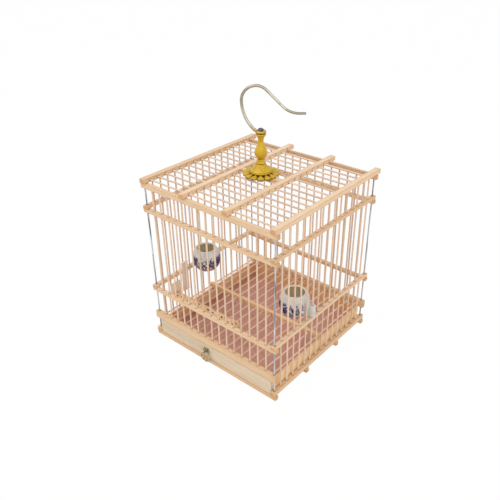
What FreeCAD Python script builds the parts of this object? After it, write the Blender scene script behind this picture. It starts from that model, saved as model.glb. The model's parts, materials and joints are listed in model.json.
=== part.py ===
import FreeCAD, Part
import math
import os
import Sketcher
from FreeCAD import Vector

doc = FreeCAD.newDocument("bird_cage")
dims = doc.addObject("Spreadsheet::Sheet", "dims")

# Driving dimensions in millimetres. X is the width, the drawer face looks to -Y, Z is up.
driving_dimensions = {
    "cage_width": 215,          # length of the front and back rails
    "cage_depth": 210,          # length of the side rails
    "back_overhang": 3.95,      # top bars past the side rails, at the back
    "wire_inset": 4.5,          # corner wire centre from the rail ends
    "wire_diameter": 2,
    "wire_end_cover": 1.5,      # wood left over the ends of a corner wire
    "rail_width": 6,
    "bottom_bar_height": 6,
    "bottom_rail_height": 7,
    "low_rail_height": 11,
    "wall_rail_height": 5,
    "top_rail_height": 6.5,
    "top_bar_height": 6,
    "top_bar_width": 8,
    "low_rail_bottom": 28.5,
    "mid_rail_bottom": 74.5,
    "upper_rail_drop": 46,      # underside of the upper rails below the top of the top bars
    "cage_height": 240,         # underside of the bottom bars to the top of the top bars
    "inner_bar_spread": 69,     # between the centres of the two inner top bars
    "inner_bottom_spread": 70,  # between the two inner bottom bars
    "rod_count": 15,            # rods in one wall
    "rod_diameter": 2.3,
    "rod_seat": 3.5,            # how deep a rod end sits in a rail
    "glued_clearance": 0.05,    # radial, round rods and wires that stay put
    "door_first_rod_number": 10,
    "door_rod_count": 4,
    "door_clearance": 0.09,     # radial, round the rods that slide
    "door_foot_height": 6,
    "door_foot_margin": 5,
    "door_gap": 0.2,
    "floor_bar_height": 6,
    "centre_bar_tenon": 2.5,
    "drawer_side_gap": 0.5,
    "drawer_floor_gap": 0.3,
    "drawer_top_gap": 0.5,
    "drawer_back_gap": 0.6,
    "drawer_face_recess": 0.5,
    "drawer_front_thickness": 4,
    "drawer_board_thickness": 3,
    "drawer_board_drop": 0.3,   # side and back boards lower than the front board
    "drawer_bottom_thickness": 2.4,
    "face_edge_round": 0.8,
    "pull_offset": -10,         # pull from the middle of the drawer face
    "pull_height": 18,          # eye of the pull above the table
    "plate_radius": 4.4,
    "petal_radius": 2.1,
    "petal_count": 6,
    "plate_thickness": 0.8,
    "eye_wire": 1.1,
    "eye_gap": 0.25,            # between the eye and its plate
    "stem_length": 3,
    "ring_radius": 7.4,         # to the middle of the ring's wire
    "ring_flat": 1.4,           # straight run that bears in the eye
    "ring_wire": 1.9,
    "ring_play": 0.4,           # radial, ring wire in the eye
    "flange_radius": 18.5,
    "flange_height": 4,
    "scallop_radius": 4.2,
    "scallop_count": 14,
    "scallop_hole": 1.3,
    "baluster_height": 48,
    "bell_radius": 14.4,
    "bell_rim": 1.2,
    "bell_height": 9.6,         # foot of the baluster to its groove
    "bell_top_radius": 6.2,
    "groove_width": 1.6,
    "groove_depth": 0.8,
    "waist_radius": 4.1,
    "waist_height": 16.7,
    "bulb_radius": 7.9,
    "bulb_height": 23.7,
    "neck_radius": 3.3,
    "neck_height": 38.3,
    "cap_radius": 6.3,
    "cap_rim": 2,
    "cap_swell": 0.4,
    "bolt_diameter": 3,
    "bolt_head_radius": 3.5,
    "bolt_head_height": 2.2,
    "nut_radius": 3.6,
    "nut_height": 2.6,
    "washer_radius": 5,
    "washer_thickness": 1,
    "hook_wire": 3.8,
    "hook_eye_radius": 4.8,
    "hook_gap": 0.3,
    "hook_bend_radius": 16.8,
    "hook_bend_height": 91.8,   # middle of the top bend above the top bars
    "hook_throat": 22.3,        # outside of the bend from the swivel axis
    "hook_tip_height": 76,
    "hook_tip_radius": 28.7,
    "hook_tip_length": 7.5,
    "hook_turn": 39.8,          # degrees from +X about the swivel
    "cup_height": 32,
    "cup_foot_radius": 14,
    "cup_belly_radius": 20,
    "cup_mouth_radius": 15.2,
    "cup_belly_height": 14.7,
    "cup_wall": 2.8,
    "cup_reach": 23,            # middle of a cup from the wall rod that its ear is threaded on
    "cup_rod_number": 6,
    "right_cup_turn": 21,       # degrees about the rod, towards the drawer face
    "cup_seat_gap": 0.2,
    "ear_radius": 4.2,
    "ear_height": 16.5,
    "ear_play": 0.4,            # radial, rod in the ear
    "perch_diameter": 10.4,
    "perch_length": 118,
    "perch_end_radius": 5,
    "perch_dome_height": 4.2,
    "perch_height": 52,
    "perch_gap_number": 2,      # the perch is fixed in the gap after this wall rod
    "perch_plate_width": 18,
    "perch_plate_thickness": 2.5,
    "perch_plate_drop": 7,      # foot of the plate below the middle of the perch
    "perch_plate_gap": 8,       # top of the plate to the middle side rail
    "perch_screw_diameter": 3,
    "perch_screw_grip": 14,
    "perch_washer_radius": 8,
    "perch_washer_thickness": 1.4,
    "perch_head_radius": 3,
    "perch_head_height": 1.2,
    "slat_width": 11,
    "slat_height": 47,
    "slat_thickness": 2.5,
    "slat_bottom": 51,
    "slat_gap": 3.4,            # from the perch plate
}
for row, (alias, number) in enumerate(driving_dimensions.items(), start=1):
    dims.set("A%d" % row, alias)
    dims.set("B%d" % row, str(number))
    dims.setAlias("B%d" % row, alias)
doc.recompute()


def size(alias):
    return float(dims.get(alias))


# Places that several pieces share, as expressions on the sheet
wire_x = "(dims.cage_width / 2 - dims.wire_inset)"
wire_y = "(dims.cage_depth / 2 - dims.wire_inset)"
half_rail = "(dims.rail_width / 2)"
rod_radius = "(dims.rod_diameter / 2)"
rod_hole = "(dims.rod_diameter / 2 + dims.glued_clearance)"
door_hole = "(dims.rod_diameter / 2 + dims.door_clearance)"
wire_radius = "(dims.wire_diameter / 2)"
wire_hole = "(dims.wire_diameter / 2 + dims.glued_clearance)"
front_pitch = "(2 * %s / (dims.rod_count + 1))" % wire_x
side_pitch = "(2 * %s / (dims.rod_count + 1))" % wire_y
top_bar_z = "(dims.cage_height - dims.top_bar_height)"
top_rail_z = "(%s - dims.top_rail_height)" % top_bar_z
bottom_rail_top = "(dims.bottom_bar_height + dims.bottom_rail_height)"
low_rail_top = "(dims.low_rail_bottom + dims.low_rail_height)"
mid_side_z = "(dims.mid_rail_bottom + dims.wall_rail_height)"
mid_side_top = "(%s + dims.wall_rail_height)" % mid_side_z
upper_rail_z = "(dims.cage_height - dims.upper_rail_drop)"
upper_side_z = "(%s + dims.wall_rail_height)" % upper_rail_z
top_rod_z = "(dims.cage_height - dims.top_bar_height / 2)"
floor_rod_z = "(dims.low_rail_bottom + dims.low_rail_height / 2)"
inner_bar_x = "(dims.inner_bar_spread / 2)"

rod_count = int(size("rod_count"))
wall_numbers = range(1, rod_count + 1)
half_numbers = [number - 0.5 for number in range(1, rod_count + 2)]
door_first = int(size("door_first_rod_number"))
door_numbers = range(door_first, door_first + int(size("door_rod_count")))


def front_rod_x(number):
    return "(%s * %s - %s)" % (number, front_pitch, wire_x)


def side_rod_y(number):
    return "(%s * %s - %s)" % (number, side_pitch, wire_y)


def clear_of_centre(number):
    # Top rods leave room for the bar that carries the hook.
    rod_y = (number / (rod_count + 1) - 0.5) * (size("cage_depth") - 2 * size("wire_inset"))
    return abs(rod_y) > (size("top_bar_width") + size("rod_diameter")) / 2


top_numbers = [number for number in half_numbers if clear_of_centre(number)]
axis_turns = {
    "X": FreeCAD.Rotation(Vector(0, 1, 0), 90),
    "Y": FreeCAD.Rotation(Vector(1, 0, 0), -90),
    "Z": FreeCAD.Rotation(),
}
sub_parts = []


def keep(piece, label):
    piece.Label = label
    sub_parts.append(piece)
    return piece


def place(piece, corner):
    for letter, expression in zip("xyz", corner):
        piece.setExpression("Placement.Base." + letter, str(expression))


def box(name, lengths, corner):
    piece = doc.addObject("Part::Box", name)
    for side, expression in zip(("Length", "Width", "Height"), lengths):
        piece.setExpression(side, str(expression))
    place(piece, corner)
    return piece


def cylinder(name, radius, length, start, axis="Z"):
    piece = doc.addObject("Part::Cylinder", name)
    piece.Placement = FreeCAD.Placement(Vector(), axis_turns[axis])
    piece.setExpression("Radius", str(radius))
    piece.setExpression("Height", str(length))
    place(piece, start)
    return piece


def group(name, pieces):
    bundle = doc.addObject("Part::Compound", name)
    bundle.Links = pieces
    return bundle


def drilled(label, blank, holes):
    if not holes:
        return keep(blank, label)
    cut = doc.addObject("Part::Cut", label + "_drilled")
    cut.Base = blank
    cut.Tool = group(label + "_drill", holes)
    return keep(cut, label)


def fused(name, pieces):
    union = doc.addObject("Part::MultiFuse", name)
    union.Shapes = pieces
    return union


# Upright holes through a rail at the given places, from one height to another
def upright_holes(label, places, radius, low, high):
    length = "(%s - %s)" % (high, low)
    return [
        cylinder("%s_hole_%d" % (label, index), radius, length, (x, y, low))
        for index, (x, y) in enumerate(places)
    ]


def corner_places(x_signs, y_signs):
    return [("%d * %s" % (sx, wire_x), "%d * %s" % (sy, wire_y)) for sx in x_signs for sy in y_signs]


# Front and back rails run along X, side rails along Y and lie on top of them
def cross_rail(label, y_sign, low, height, rod_low=None, rod_high=None, extra=()):
    y_centre = "(%d * %s)" % (y_sign, wire_y)
    corner = ("-dims.cage_width / 2", "%s - %s" % (y_centre, half_rail), low)
    blank = box(label + "_blank", ("dims.cage_width", "dims.rail_width", height), corner)
    wire_low = "dims.wire_end_cover" if low == "0" else low
    top = "(%s + %s)" % (low, height)
    holes = upright_holes(label + "_wire", corner_places((-1, 1), (y_sign,)), wire_hole, wire_low, top)
    if rod_low is not None:
        rods = [(front_rod_x(number), y_centre) for number in wall_numbers]
        holes += upright_holes(label + "_rod", rods, rod_hole, rod_low, rod_high)
    return drilled(label, blank, holes + list(extra))


def side_rail(label, x_sign, low, height, rod_low, has_door):
    x_centre = "(%d * %s)" % (x_sign, wire_x)
    top = "(%s + %s)" % (low, height)
    corner = ("%s - %s" % (x_centre, half_rail), "-dims.cage_depth / 2", low)
    blank = box(label + "_blank", ("dims.rail_width", "dims.cage_depth", height), corner)
    holes = upright_holes(label + "_wire", corner_places((x_sign,), (-1, 1)), wire_hole, low, top)
    fixed = [(x_centre, side_rod_y(number)) for number in fixed_side_numbers(x_sign)]
    holes += upright_holes(label + "_rod", fixed, rod_hole, rod_low, top)
    if has_door:
        sliding = [(x_centre, side_rod_y(number)) for number in door_numbers]
        holes += upright_holes(label + "_door", sliding, door_hole, low, top)
    return drilled(label, blank, holes)


def fixed_side_numbers(x_sign):
    return [number for number in wall_numbers if x_sign > 0 or number not in door_numbers]


# Bottom bars and rails
def make_bottom():
    back_seat = "(dims.bottom_bar_height - dims.rod_seat)"
    cross_rail("bottom_front_bar", -1, "0", "dims.bottom_bar_height")
    cross_rail("bottom_back_bar", 1, "0", "dims.bottom_bar_height", back_seat, "dims.bottom_bar_height")
    for label, sign in (("bottom_inner_front_bar", -1), ("bottom_inner_back_bar", 1)):
        y_low = "%d * dims.inner_bottom_spread / 2 - %s" % (sign, half_rail)
        lengths = ("dims.cage_width", "dims.rail_width", "dims.bottom_bar_height")
        keep(box(label + "_box", lengths, ("-dims.cage_width / 2", y_low, "0")), label)
    seat = "(%s - dims.rod_seat)" % bottom_rail_top
    for label, sign in (("bottom_left_rail", -1), ("bottom_right_rail", 1)):
        side_rail(label, sign, "dims.bottom_bar_height", "dims.bottom_rail_height", seat, False)


# Rails of the four walls
def make_wall_rails():
    low, height = "dims.low_rail_bottom", "dims.low_rail_height"
    for label, sign in (("low_front_rail", -1), ("low_back_rail", 1)):
        inner_face = "%d * (%s - %s)" % (sign, wire_y, half_rail)
        start = inner_face if sign > 0 else "%s - dims.rod_seat" % inner_face
        floor_holes = [
            cylinder(
                "%s_floor_hole_%d" % (label, index), rod_hole, "dims.rod_seat",
                (front_rod_x(number), start, floor_rod_z), "Y",
            )
            for index, number in enumerate(half_numbers)
        ]
        rod_low = low if sign > 0 else "(%s - dims.rod_seat)" % low_rail_top
        cross_rail(label, sign, low, height, rod_low, low_rail_top, floor_holes)
    for level in ("mid", "upper"):
        low = {"mid": "dims.mid_rail_bottom", "upper": upper_rail_z}[level]
        side_low, height = {"mid": mid_side_z, "upper": upper_side_z}[level], "dims.wall_rail_height"
        for side, sign in (("front", -1), ("back", 1)):
            cross_rail("%s_%s_rail" % (level, side), sign, low, height, low, side_low)
        for side, sign in (("left", -1), ("right", 1)):
            side_rail("%s_%s_rail" % (level, side), sign, side_low, height, side_low, sign < 0)


# Top: two cross rails, four bars along Y on top of them, and a short bar under the hook
def make_top():
    seat_top = "(%s + dims.rod_seat)" % top_rail_z
    for label, sign in (("top_front_rail", -1), ("top_back_rail", 1)):
        cross_rail(label, sign, top_rail_z, "dims.top_rail_height", top_rail_z, seat_top)
    for label, sign in (("top_left_bar", -1), ("top_right_bar", 1)):
        make_edge_bar(label, sign)
    for label, sign in (("top_inner_left_bar", -1), ("top_inner_right_bar", 1)):
        make_inner_bar(label, sign)
    half_length = "(%s - dims.top_bar_width / 2 + dims.centre_bar_tenon)" % inner_bar_x
    corner = ("-%s" % half_length, "-dims.top_bar_width / 2", top_bar_z)
    lengths = ("2 * %s" % half_length, "dims.top_bar_width", "dims.top_bar_height")
    blank = box("top_centre_bar_blank", lengths, corner)
    bore = upright_holes("top_centre_bar", [("0", "0")], bolt_hole, top_bar_z, "dims.cage_height")
    drilled("top_centre_bar", blank, bore)


def top_bar_blank(label, x_centre):
    lengths = ("dims.top_bar_width", "dims.cage_depth + dims.back_overhang", "dims.top_bar_height")
    corner = ("%s - dims.top_bar_width / 2" % x_centre, "-dims.cage_depth / 2", top_bar_z)
    return box(label + "_blank", lengths, corner)


def make_edge_bar(label, sign):
    x_centre = "(%d * %s)" % (sign, wire_x)
    wire_top = "(dims.cage_height - dims.wire_end_cover)"
    holes = upright_holes(label + "_wire", corner_places((sign,), (-1, 1)), wire_hole, top_bar_z, wire_top)
    fixed = [(x_centre, side_rod_y(number)) for number in fixed_side_numbers(sign)]
    seat_top = "(%s + dims.rod_seat)" % top_bar_z
    holes += upright_holes(label + "_rod", fixed, rod_hole, top_bar_z, seat_top)
    if sign < 0:
        sliding = [(x_centre, side_rod_y(number)) for number in door_numbers]
        holes += upright_holes(label + "_door", sliding, door_hole, top_bar_z, "dims.cage_height")
    inner_face = "%d * (%s - dims.top_bar_width / 2)" % (sign, wire_x)
    start = inner_face if sign > 0 else "%s - dims.rod_seat" % inner_face
    for index, number in enumerate(top_numbers):
        name = "%s_grille_hole_%d" % (label, index)
        place_at = (start, side_rod_y(number), top_rod_z)
        holes.append(cylinder(name, rod_hole, "dims.rod_seat", place_at, "X"))
    drilled(label, top_bar_blank(label, x_centre), holes)


def make_inner_bar(label, sign):
    x_centre = "(%d * %s)" % (sign, inner_bar_x)
    start = "%s - dims.top_bar_width / 2" % x_centre
    holes = [
        cylinder(
            "%s_grille_hole_%d" % (label, index), rod_hole, "dims.top_bar_width",
            (start, side_rod_y(number), top_rod_z), "X",
        )
        for index, number in enumerate(top_numbers)
    ]
    inner_face = "(%d * (%s - dims.top_bar_width / 2))" % (sign, inner_bar_x)
    mortise_x = inner_face if sign > 0 else "%s - dims.centre_bar_tenon" % inner_face
    lengths = ("dims.centre_bar_tenon", "dims.top_bar_width + 2 * dims.glued_clearance", "dims.top_bar_height")
    corner = (mortise_x, "-dims.top_bar_width / 2 - dims.glued_clearance", top_bar_z)
    holes.append(box(label + "_mortise", lengths, corner))
    drilled(label, top_bar_blank(label, x_centre), holes)


# Rods, each wall one group of separate rods
def rod_group(label, places, length, axis="Z"):
    rods = [
        cylinder("%s_%d" % (label, index), rod_radius, length, start, axis)
        for index, start in enumerate(places)
    ]
    keep(group(label + "_group", rods), label)


def make_rods():
    top_seat = "(%s + dims.rod_seat)" % top_rail_z
    front_low = "(%s - dims.rod_seat)" % low_rail_top
    front = [(front_rod_x(number), "-%s" % wire_y, front_low) for number in wall_numbers]
    rod_group("front_wall_rods", front, "%s - %s" % (top_seat, front_low))
    back_low = "(dims.bottom_bar_height - dims.rod_seat)"
    back = [(front_rod_x(number), wire_y, back_low) for number in wall_numbers]
    rod_group("back_wall_rods", back, "%s - %s" % (top_seat, back_low))
    side_low = "(%s - dims.rod_seat)" % bottom_rail_top
    side_length = "%s + dims.rod_seat - %s" % (top_bar_z, side_low)
    runs = {
        "left_wall_front_rods": (-1, range(1, door_numbers[0])),
        "left_wall_back_rods": (-1, range(door_numbers[-1] + 1, rod_count + 1)),
        "right_wall_rods": (1, wall_numbers),
    }
    for label, (sign, numbers) in runs.items():
        places = [("%d * %s" % (sign, wire_x), side_rod_y(number), side_low) for number in numbers]
        rod_group(label, places, side_length)
    grille_reach = "(%s - dims.top_bar_width / 2 + dims.rod_seat)" % wire_x
    grille = [("-%s" % grille_reach, side_rod_y(number), top_rod_z) for number in top_numbers]
    rod_group("top_rods", grille, "2 * %s" % grille_reach, "X")
    floor_reach = "(%s - %s + dims.rod_seat)" % (wire_y, half_rail)
    floor = [(front_rod_x(number), "-%s" % floor_reach, floor_rod_z) for number in half_numbers]
    rod_group("floor_rods", floor, "2 * %s" % floor_reach, "Y")


# The bar across the middle of the floor, threaded on the floor rods
def make_floor_bar():
    half_length = "(%s - %s)" % (wire_x, half_rail)
    low = "%s - dims.floor_bar_height / 2" % floor_rod_z
    blank = box(
        "floor_centre_bar_blank", ("2 * %s" % half_length, "dims.rail_width", "dims.floor_bar_height"),
        ("-%s" % half_length, "-%s" % half_rail, low),
    )
    holes = [
        cylinder(
            "floor_centre_bar_hole_%d" % index, rod_hole, "dims.rail_width",
            (front_rod_x(number), "-%s" % half_rail, floor_rod_z), "Y",
        )
        for index, number in enumerate(half_numbers)
    ]
    drilled("floor_centre_bar", blank, holes)


def make_corner_wires():
    names = {"front_left": (-1, -1), "front_right": (1, -1), "back_left": (-1, 1), "back_right": (1, 1)}
    for name, (x_sign, y_sign) in names.items():
        start = ("%d * %s" % (x_sign, wire_x), "%d * %s" % (y_sign, wire_y), "dims.wire_end_cover")
        wire = cylinder(name + "_rod", wire_radius, "dims.cage_height - 2 * dims.wire_end_cover", start)
        keep(wire, name + "_wire")


# Lift-up door: four rods of the left wall that slide up through the rails, joined at their feet
def make_door():
    foot_low = "(%s + dims.door_gap)" % bottom_rail_top
    x_centre = "(-%s)" % wire_x
    places = [(x_centre, side_rod_y(number), foot_low) for number in door_numbers]
    rod_group("door_rods", places, "dims.cage_height - %s" % foot_low)
    first, last = side_rod_y(door_numbers[0]), side_rod_y(door_numbers[-1])
    lengths = ("dims.rail_width", "%s - %s + 2 * dims.door_foot_margin" % (last, first), "dims.door_foot_height")
    corner = ("%s - %s" % (x_centre, half_rail), "%s - dims.door_foot_margin" % first, foot_low)
    blank = box("door_foot_bar_blank", lengths, corner)
    spots = [(x_centre, side_rod_y(number)) for number in door_numbers]
    holes = upright_holes("door_foot_bar", spots, rod_hole, foot_low, "(%s + dims.door_foot_height)" % foot_low)
    drilled("door_foot_bar", blank, holes)


# Drawer: a front board with rounded edges, two sides, a back and a bottom
drawer_half = "(%s - %s - dims.drawer_side_gap)" % (wire_x, half_rail)
drawer_low = "(dims.bottom_bar_height + dims.drawer_floor_gap)"
drawer_top = "(dims.low_rail_bottom - dims.drawer_top_gap)"
drawer_face_y = "(-%s - %s + dims.drawer_face_recess)" % (wire_y, half_rail)
drawer_back_y = "(%s - %s - dims.drawer_back_gap)" % (wire_y, rod_radius)
front_back_y = "(%s + dims.drawer_front_thickness)" % drawer_face_y


def body_plane(body, role):
    return next(feature for feature in body.Origin.OriginFeatures if feature.Role == role)


def attached_sketch(body, name, role):
    sketch = body.newObject("Sketcher::SketchObject", name)
    sketch.AttachmentSupport = (body_plane(body, role), [""])
    sketch.MapMode = "FlatFace"
    return sketch


def bound_circle(sketch, radius, distance=None):
    start = Vector(1, 0, 0) if distance else Vector(0, 0, 0)
    index = sketch.addGeometry(Part.Circle(start, Vector(0, 0, 1), 1))
    if distance:
        sketch.addConstraint(Sketcher.Constraint("PointOnObject", index, 3, -1))
        spot = sketch.addConstraint(Sketcher.Constraint("DistanceX", -1, 1, index, 3, 1))
        sketch.setExpression("Constraints[%d]" % spot, distance)
    else:
        sketch.addConstraint(Sketcher.Constraint("Coincident", index, 3, -1, 1))
    width = sketch.addConstraint(Sketcher.Constraint("Radius", index, 1))
    sketch.setExpression("Constraints[%d]" % width, radius)


def padded_circle(body, name, radius, height, distance=None):
    sketch = attached_sketch(body, name + "_sketch", "XY_Plane")
    bound_circle(sketch, radius, distance)
    pad = body.newObject("PartDesign::Pad", name)
    pad.Profile = sketch
    pad.setExpression("Length", height)
    doc.recompute()
    return pad, sketch


def pocketed_circle(body, name, radius, distance=None):
    sketch = attached_sketch(body, name + "_sketch", "XY_Plane")
    bound_circle(sketch, radius, distance)
    before = body.Tip.Shape.Volume
    pocket = body.newObject("PartDesign::Pocket", name)
    pocket.Profile = sketch
    pocket.Type = "ThroughAll"
    pocket.Reversed = True
    doc.recompute()
    if pocket.Shape.Volume >= before:
        raise RuntimeError(name + " removes nothing")
    return pocket, sketch


def ring_pattern(body, name, feature, sketch, count):
    pattern = body.newObject("PartDesign::PolarPattern", name)
    pattern.Originals = [feature]
    pattern.Axis = (sketch, ["N_Axis"])
    pattern.Angle = 360
    pattern.setExpression("Occurrences", count)
    body.Tip = pattern
    doc.recompute()


def make_drawer_front():
    body = doc.addObject("PartDesign::Body", "drawer_front_body")
    sketch = attached_sketch(body, "drawer_front_sketch", "XZ_Plane")
    corners = [Vector(-1, 0, 0), Vector(1, 0, 0), Vector(1, 1, 0), Vector(-1, 1, 0)]
    for index, corner in enumerate(corners):
        sketch.addGeometry(Part.LineSegment(corner, corners[(index + 1) % 4]))
    for index in range(4):
        sketch.addConstraint(Sketcher.Constraint("Coincident", index, 2, (index + 1) % 4, 1))
    for index, kind in enumerate(("Horizontal", "Vertical", "Horizontal", "Vertical")):
        sketch.addConstraint(Sketcher.Constraint(kind, index))
    bounds = (("DistanceX", 0, 1, -1, 1, drawer_half), ("DistanceX", -1, 1, 0, 2, drawer_half),
              ("DistanceY", -1, 1, 0, 1, drawer_low), ("DistanceY", -1, 1, 2, 1, drawer_top))
    for kind, first, first_end, second, second_end, expression in bounds:
        spot = sketch.addConstraint(Sketcher.Constraint(kind, first, first_end, second, second_end, 1))
        sketch.setExpression("Constraints[%d]" % spot, expression)
    pad = body.newObject("PartDesign::Pad", "drawer_front_pad")
    pad.Profile = sketch
    pad.Reversed = True
    pad.setExpression("Length", "dims.drawer_front_thickness")
    doc.recompute()
    face_edges = [
        "Edge%d" % number for number, edge in enumerate(pad.Shape.Edges, start=1)
        if edge.BoundBox.YMax < size("drawer_front_thickness") / 2
    ]
    rounding = body.newObject("PartDesign::Fillet", "drawer_front_round")
    rounding.Base = (pad, face_edges)
    rounding.setExpression("Radius", "dims.face_edge_round")
    body.setExpression("Placement.Base.y", drawer_face_y)
    doc.recompute()
    stem = cylinder(
        "drawer_front_stem_hole", stem_hole, "dims.drawer_front_thickness",
        ("dims.pull_offset", drawer_face_y, "dims.pull_height"), "Y",
    )
    drilled("drawer_front", body, [stem])


def make_drawer_boards():
    board_top = "(%s - dims.drawer_board_drop)" % drawer_top
    height = "%s - %s" % (board_top, drawer_low)
    length = "%s - %s" % (drawer_back_y, front_back_y)
    thick = "dims.drawer_board_thickness"
    side_x = {"drawer_left_side": "-%s" % drawer_half, "drawer_right_side": "%s - %s" % (drawer_half, thick)}
    for label, x in side_x.items():
        keep(box(label + "_box", (thick, length, height), (x, front_back_y, drawer_low)), label)
    inner_half = "(%s - %s)" % (drawer_half, thick)
    back_y = "(%s - %s)" % (drawer_back_y, thick)
    back_box = box("drawer_back_box", ("2 * %s" % inner_half, thick, height), ("-%s" % inner_half, back_y, drawer_low))
    keep(back_box, "drawer_back")
    lengths = ("2 * %s" % inner_half, "%s - %s" % (back_y, front_back_y), "dims.drawer_bottom_thickness")
    keep(box("drawer_bottom_box", lengths, ("-%s" % inner_half, front_back_y, drawer_low)), "drawer_bottom")


# Drawer pull: a flower plate, an eye through it and a ring that hangs in the eye
stem_radius = "(dims.eye_wire / 2)"
stem_hole = "(dims.eye_wire / 2 + dims.glued_clearance)"
eye_radius = "(dims.ring_wire / 2 + dims.ring_play + dims.eye_wire / 2)"
plate_face_y = "(%s - dims.plate_thickness)" % drawer_face_y
pull_axis_y = "(%s - dims.eye_gap - %s - dims.eye_wire / 2)" % (plate_face_y, eye_radius)


def make_pull():
    body = doc.addObject("PartDesign::Body", "pull_plate_body")
    padded_circle(body, "pull_plate_disc", "dims.plate_radius", "dims.plate_thickness")
    petal, sketch = padded_circle(
        body, "pull_plate_petal", "dims.petal_radius", "dims.plate_thickness", "dims.plate_radius",
    )
    ring_pattern(body, "pull_plate_petals", petal, sketch, "dims.petal_count")
    pocketed_circle(body, "pull_plate_hole", stem_hole)
    body.Placement = FreeCAD.Placement(Vector(), FreeCAD.Rotation(Vector(1, 0, 0), 90))
    place(body, ("dims.pull_offset", drawer_face_y, "dims.pull_height"))
    keep(body, "pull_plate")
    eye = doc.addObject("Part::Torus", "pull_eye_loop")
    eye.Placement = FreeCAD.Placement(Vector(), axis_turns["X"])
    eye.setExpression("Radius1", eye_radius)
    eye.setExpression("Radius2", stem_radius)
    place(eye, ("dims.pull_offset", pull_axis_y, "dims.pull_height"))
    stem_start = "(%s + %s)" % (pull_axis_y, eye_radius)
    stem_end = "(%s + dims.stem_length)" % drawer_face_y
    stem = cylinder(
        "pull_eye_stem", stem_radius, "%s - %s" % (stem_end, stem_start),
        ("dims.pull_offset", stem_start, "dims.pull_height"), "Y",
    )
    keep(fused("pull_eye_union", [eye, stem]), "pull_eye")
    make_ring()


# The ring has a short straight run at the top and the bottom, and bears in the eye with the top one
def make_ring():
    flat, bend, wire = size("ring_flat") / 2, size("ring_radius"), size("ring_wire") / 2
    middle = Vector(size("pull_offset"), value(pull_axis_y), size("pull_height"))

    def at(along, drop):
        return middle + Vector(along, 0, -drop)

    def wire_end(along, drop):
        circle = Part.Circle(at(along, drop), Vector(1, 0, 0), wire)
        return Part.Face(Part.Wire(circle.toShape()))

    bends = [
        wire_end(sign * flat, 0).revolve(at(sign * flat, bend), Vector(0, sign, 0), 180) for sign in (1, -1)
    ]
    runs = [wire_end(flat, drop).extrude(Vector(-2 * flat, 0, 0)) for drop in (0, 2 * bend)]
    tube = bends[0].fuse(bends[1:] + runs).removeSplitter()
    shaped("pull_ring_bent", "pull_ring", tube)


# Hook stand: scalloped flange, turned baluster, bolt, nut and washer
bolt_radius = "(dims.bolt_diameter / 2)"
bolt_hole = "(dims.bolt_diameter / 2 + dims.glued_clearance)"
flange_top = "(dims.cage_height + dims.flange_height)"
baluster_top = "(%s + dims.baluster_height)" % flange_top
hook_eye_z = "(%s + dims.hook_gap + dims.hook_wire / 2)" % baluster_top
head_low = "(%s + dims.hook_wire / 2 + dims.hook_gap)" % hook_eye_z


def make_flange():
    body = doc.addObject("PartDesign::Body", "hook_flange_body")
    padded_circle(body, "flange_disc", "dims.flange_radius", "dims.flange_height")
    scallop, sketch = padded_circle(
        body, "flange_scallop", "dims.scallop_radius", "dims.flange_height", "dims.flange_radius",
    )
    ring_pattern(body, "flange_scallops", scallop, sketch, "dims.scallop_count")
    hole, sketch = pocketed_circle(body, "flange_eyelet", "dims.scallop_hole", "dims.flange_radius")
    ring_pattern(body, "flange_eyelets", hole, sketch, "dims.scallop_count")
    pocketed_circle(body, "flange_bore", bolt_hole)
    body.setExpression("Placement.Base.z", "dims.cage_height")
    keep(body, "hook_flange")


# A solid turned about Z from a half outline of lines and three-point arcs
def turned(outline):
    edges = []
    for start, *middle, end in outline:
        points = [Vector(radius, 0, height) for radius, height in (start, *middle, end)]
        if middle:
            edges.append(Part.Arc(*points).toShape())
        else:
            edges.append(Part.LineSegment(*points).toShape())
    face = Part.Face(Part.Wire(edges))
    return face.revolve(Vector(), Vector(0, 0, 1), 360)


def shaped(name, label, shape, placement=FreeCAD.Placement()):
    piece = doc.addObject("Part::Feature", name)
    piece.Shape = shape
    piece.Placement = placement
    return keep(piece, label)


def value(expression):
    return float(doc.getObject("dims").evalExpression(expression))


# Middle point of the arc between two points that runs upright at the first of them
def upright_arc_middle(upright, far):
    across, rise = far[0] - upright[0], far[1] - upright[1]
    radius = (across ** 2 + rise ** 2) / (2 * abs(across))
    half_turn = math.asin(abs(rise) / radius) / 2
    return (
        upright[0] + math.copysign(radius * (1 - math.cos(half_turn)), across),
        upright[1] + math.copysign(radius * math.sin(half_turn), rise),
    )


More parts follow.
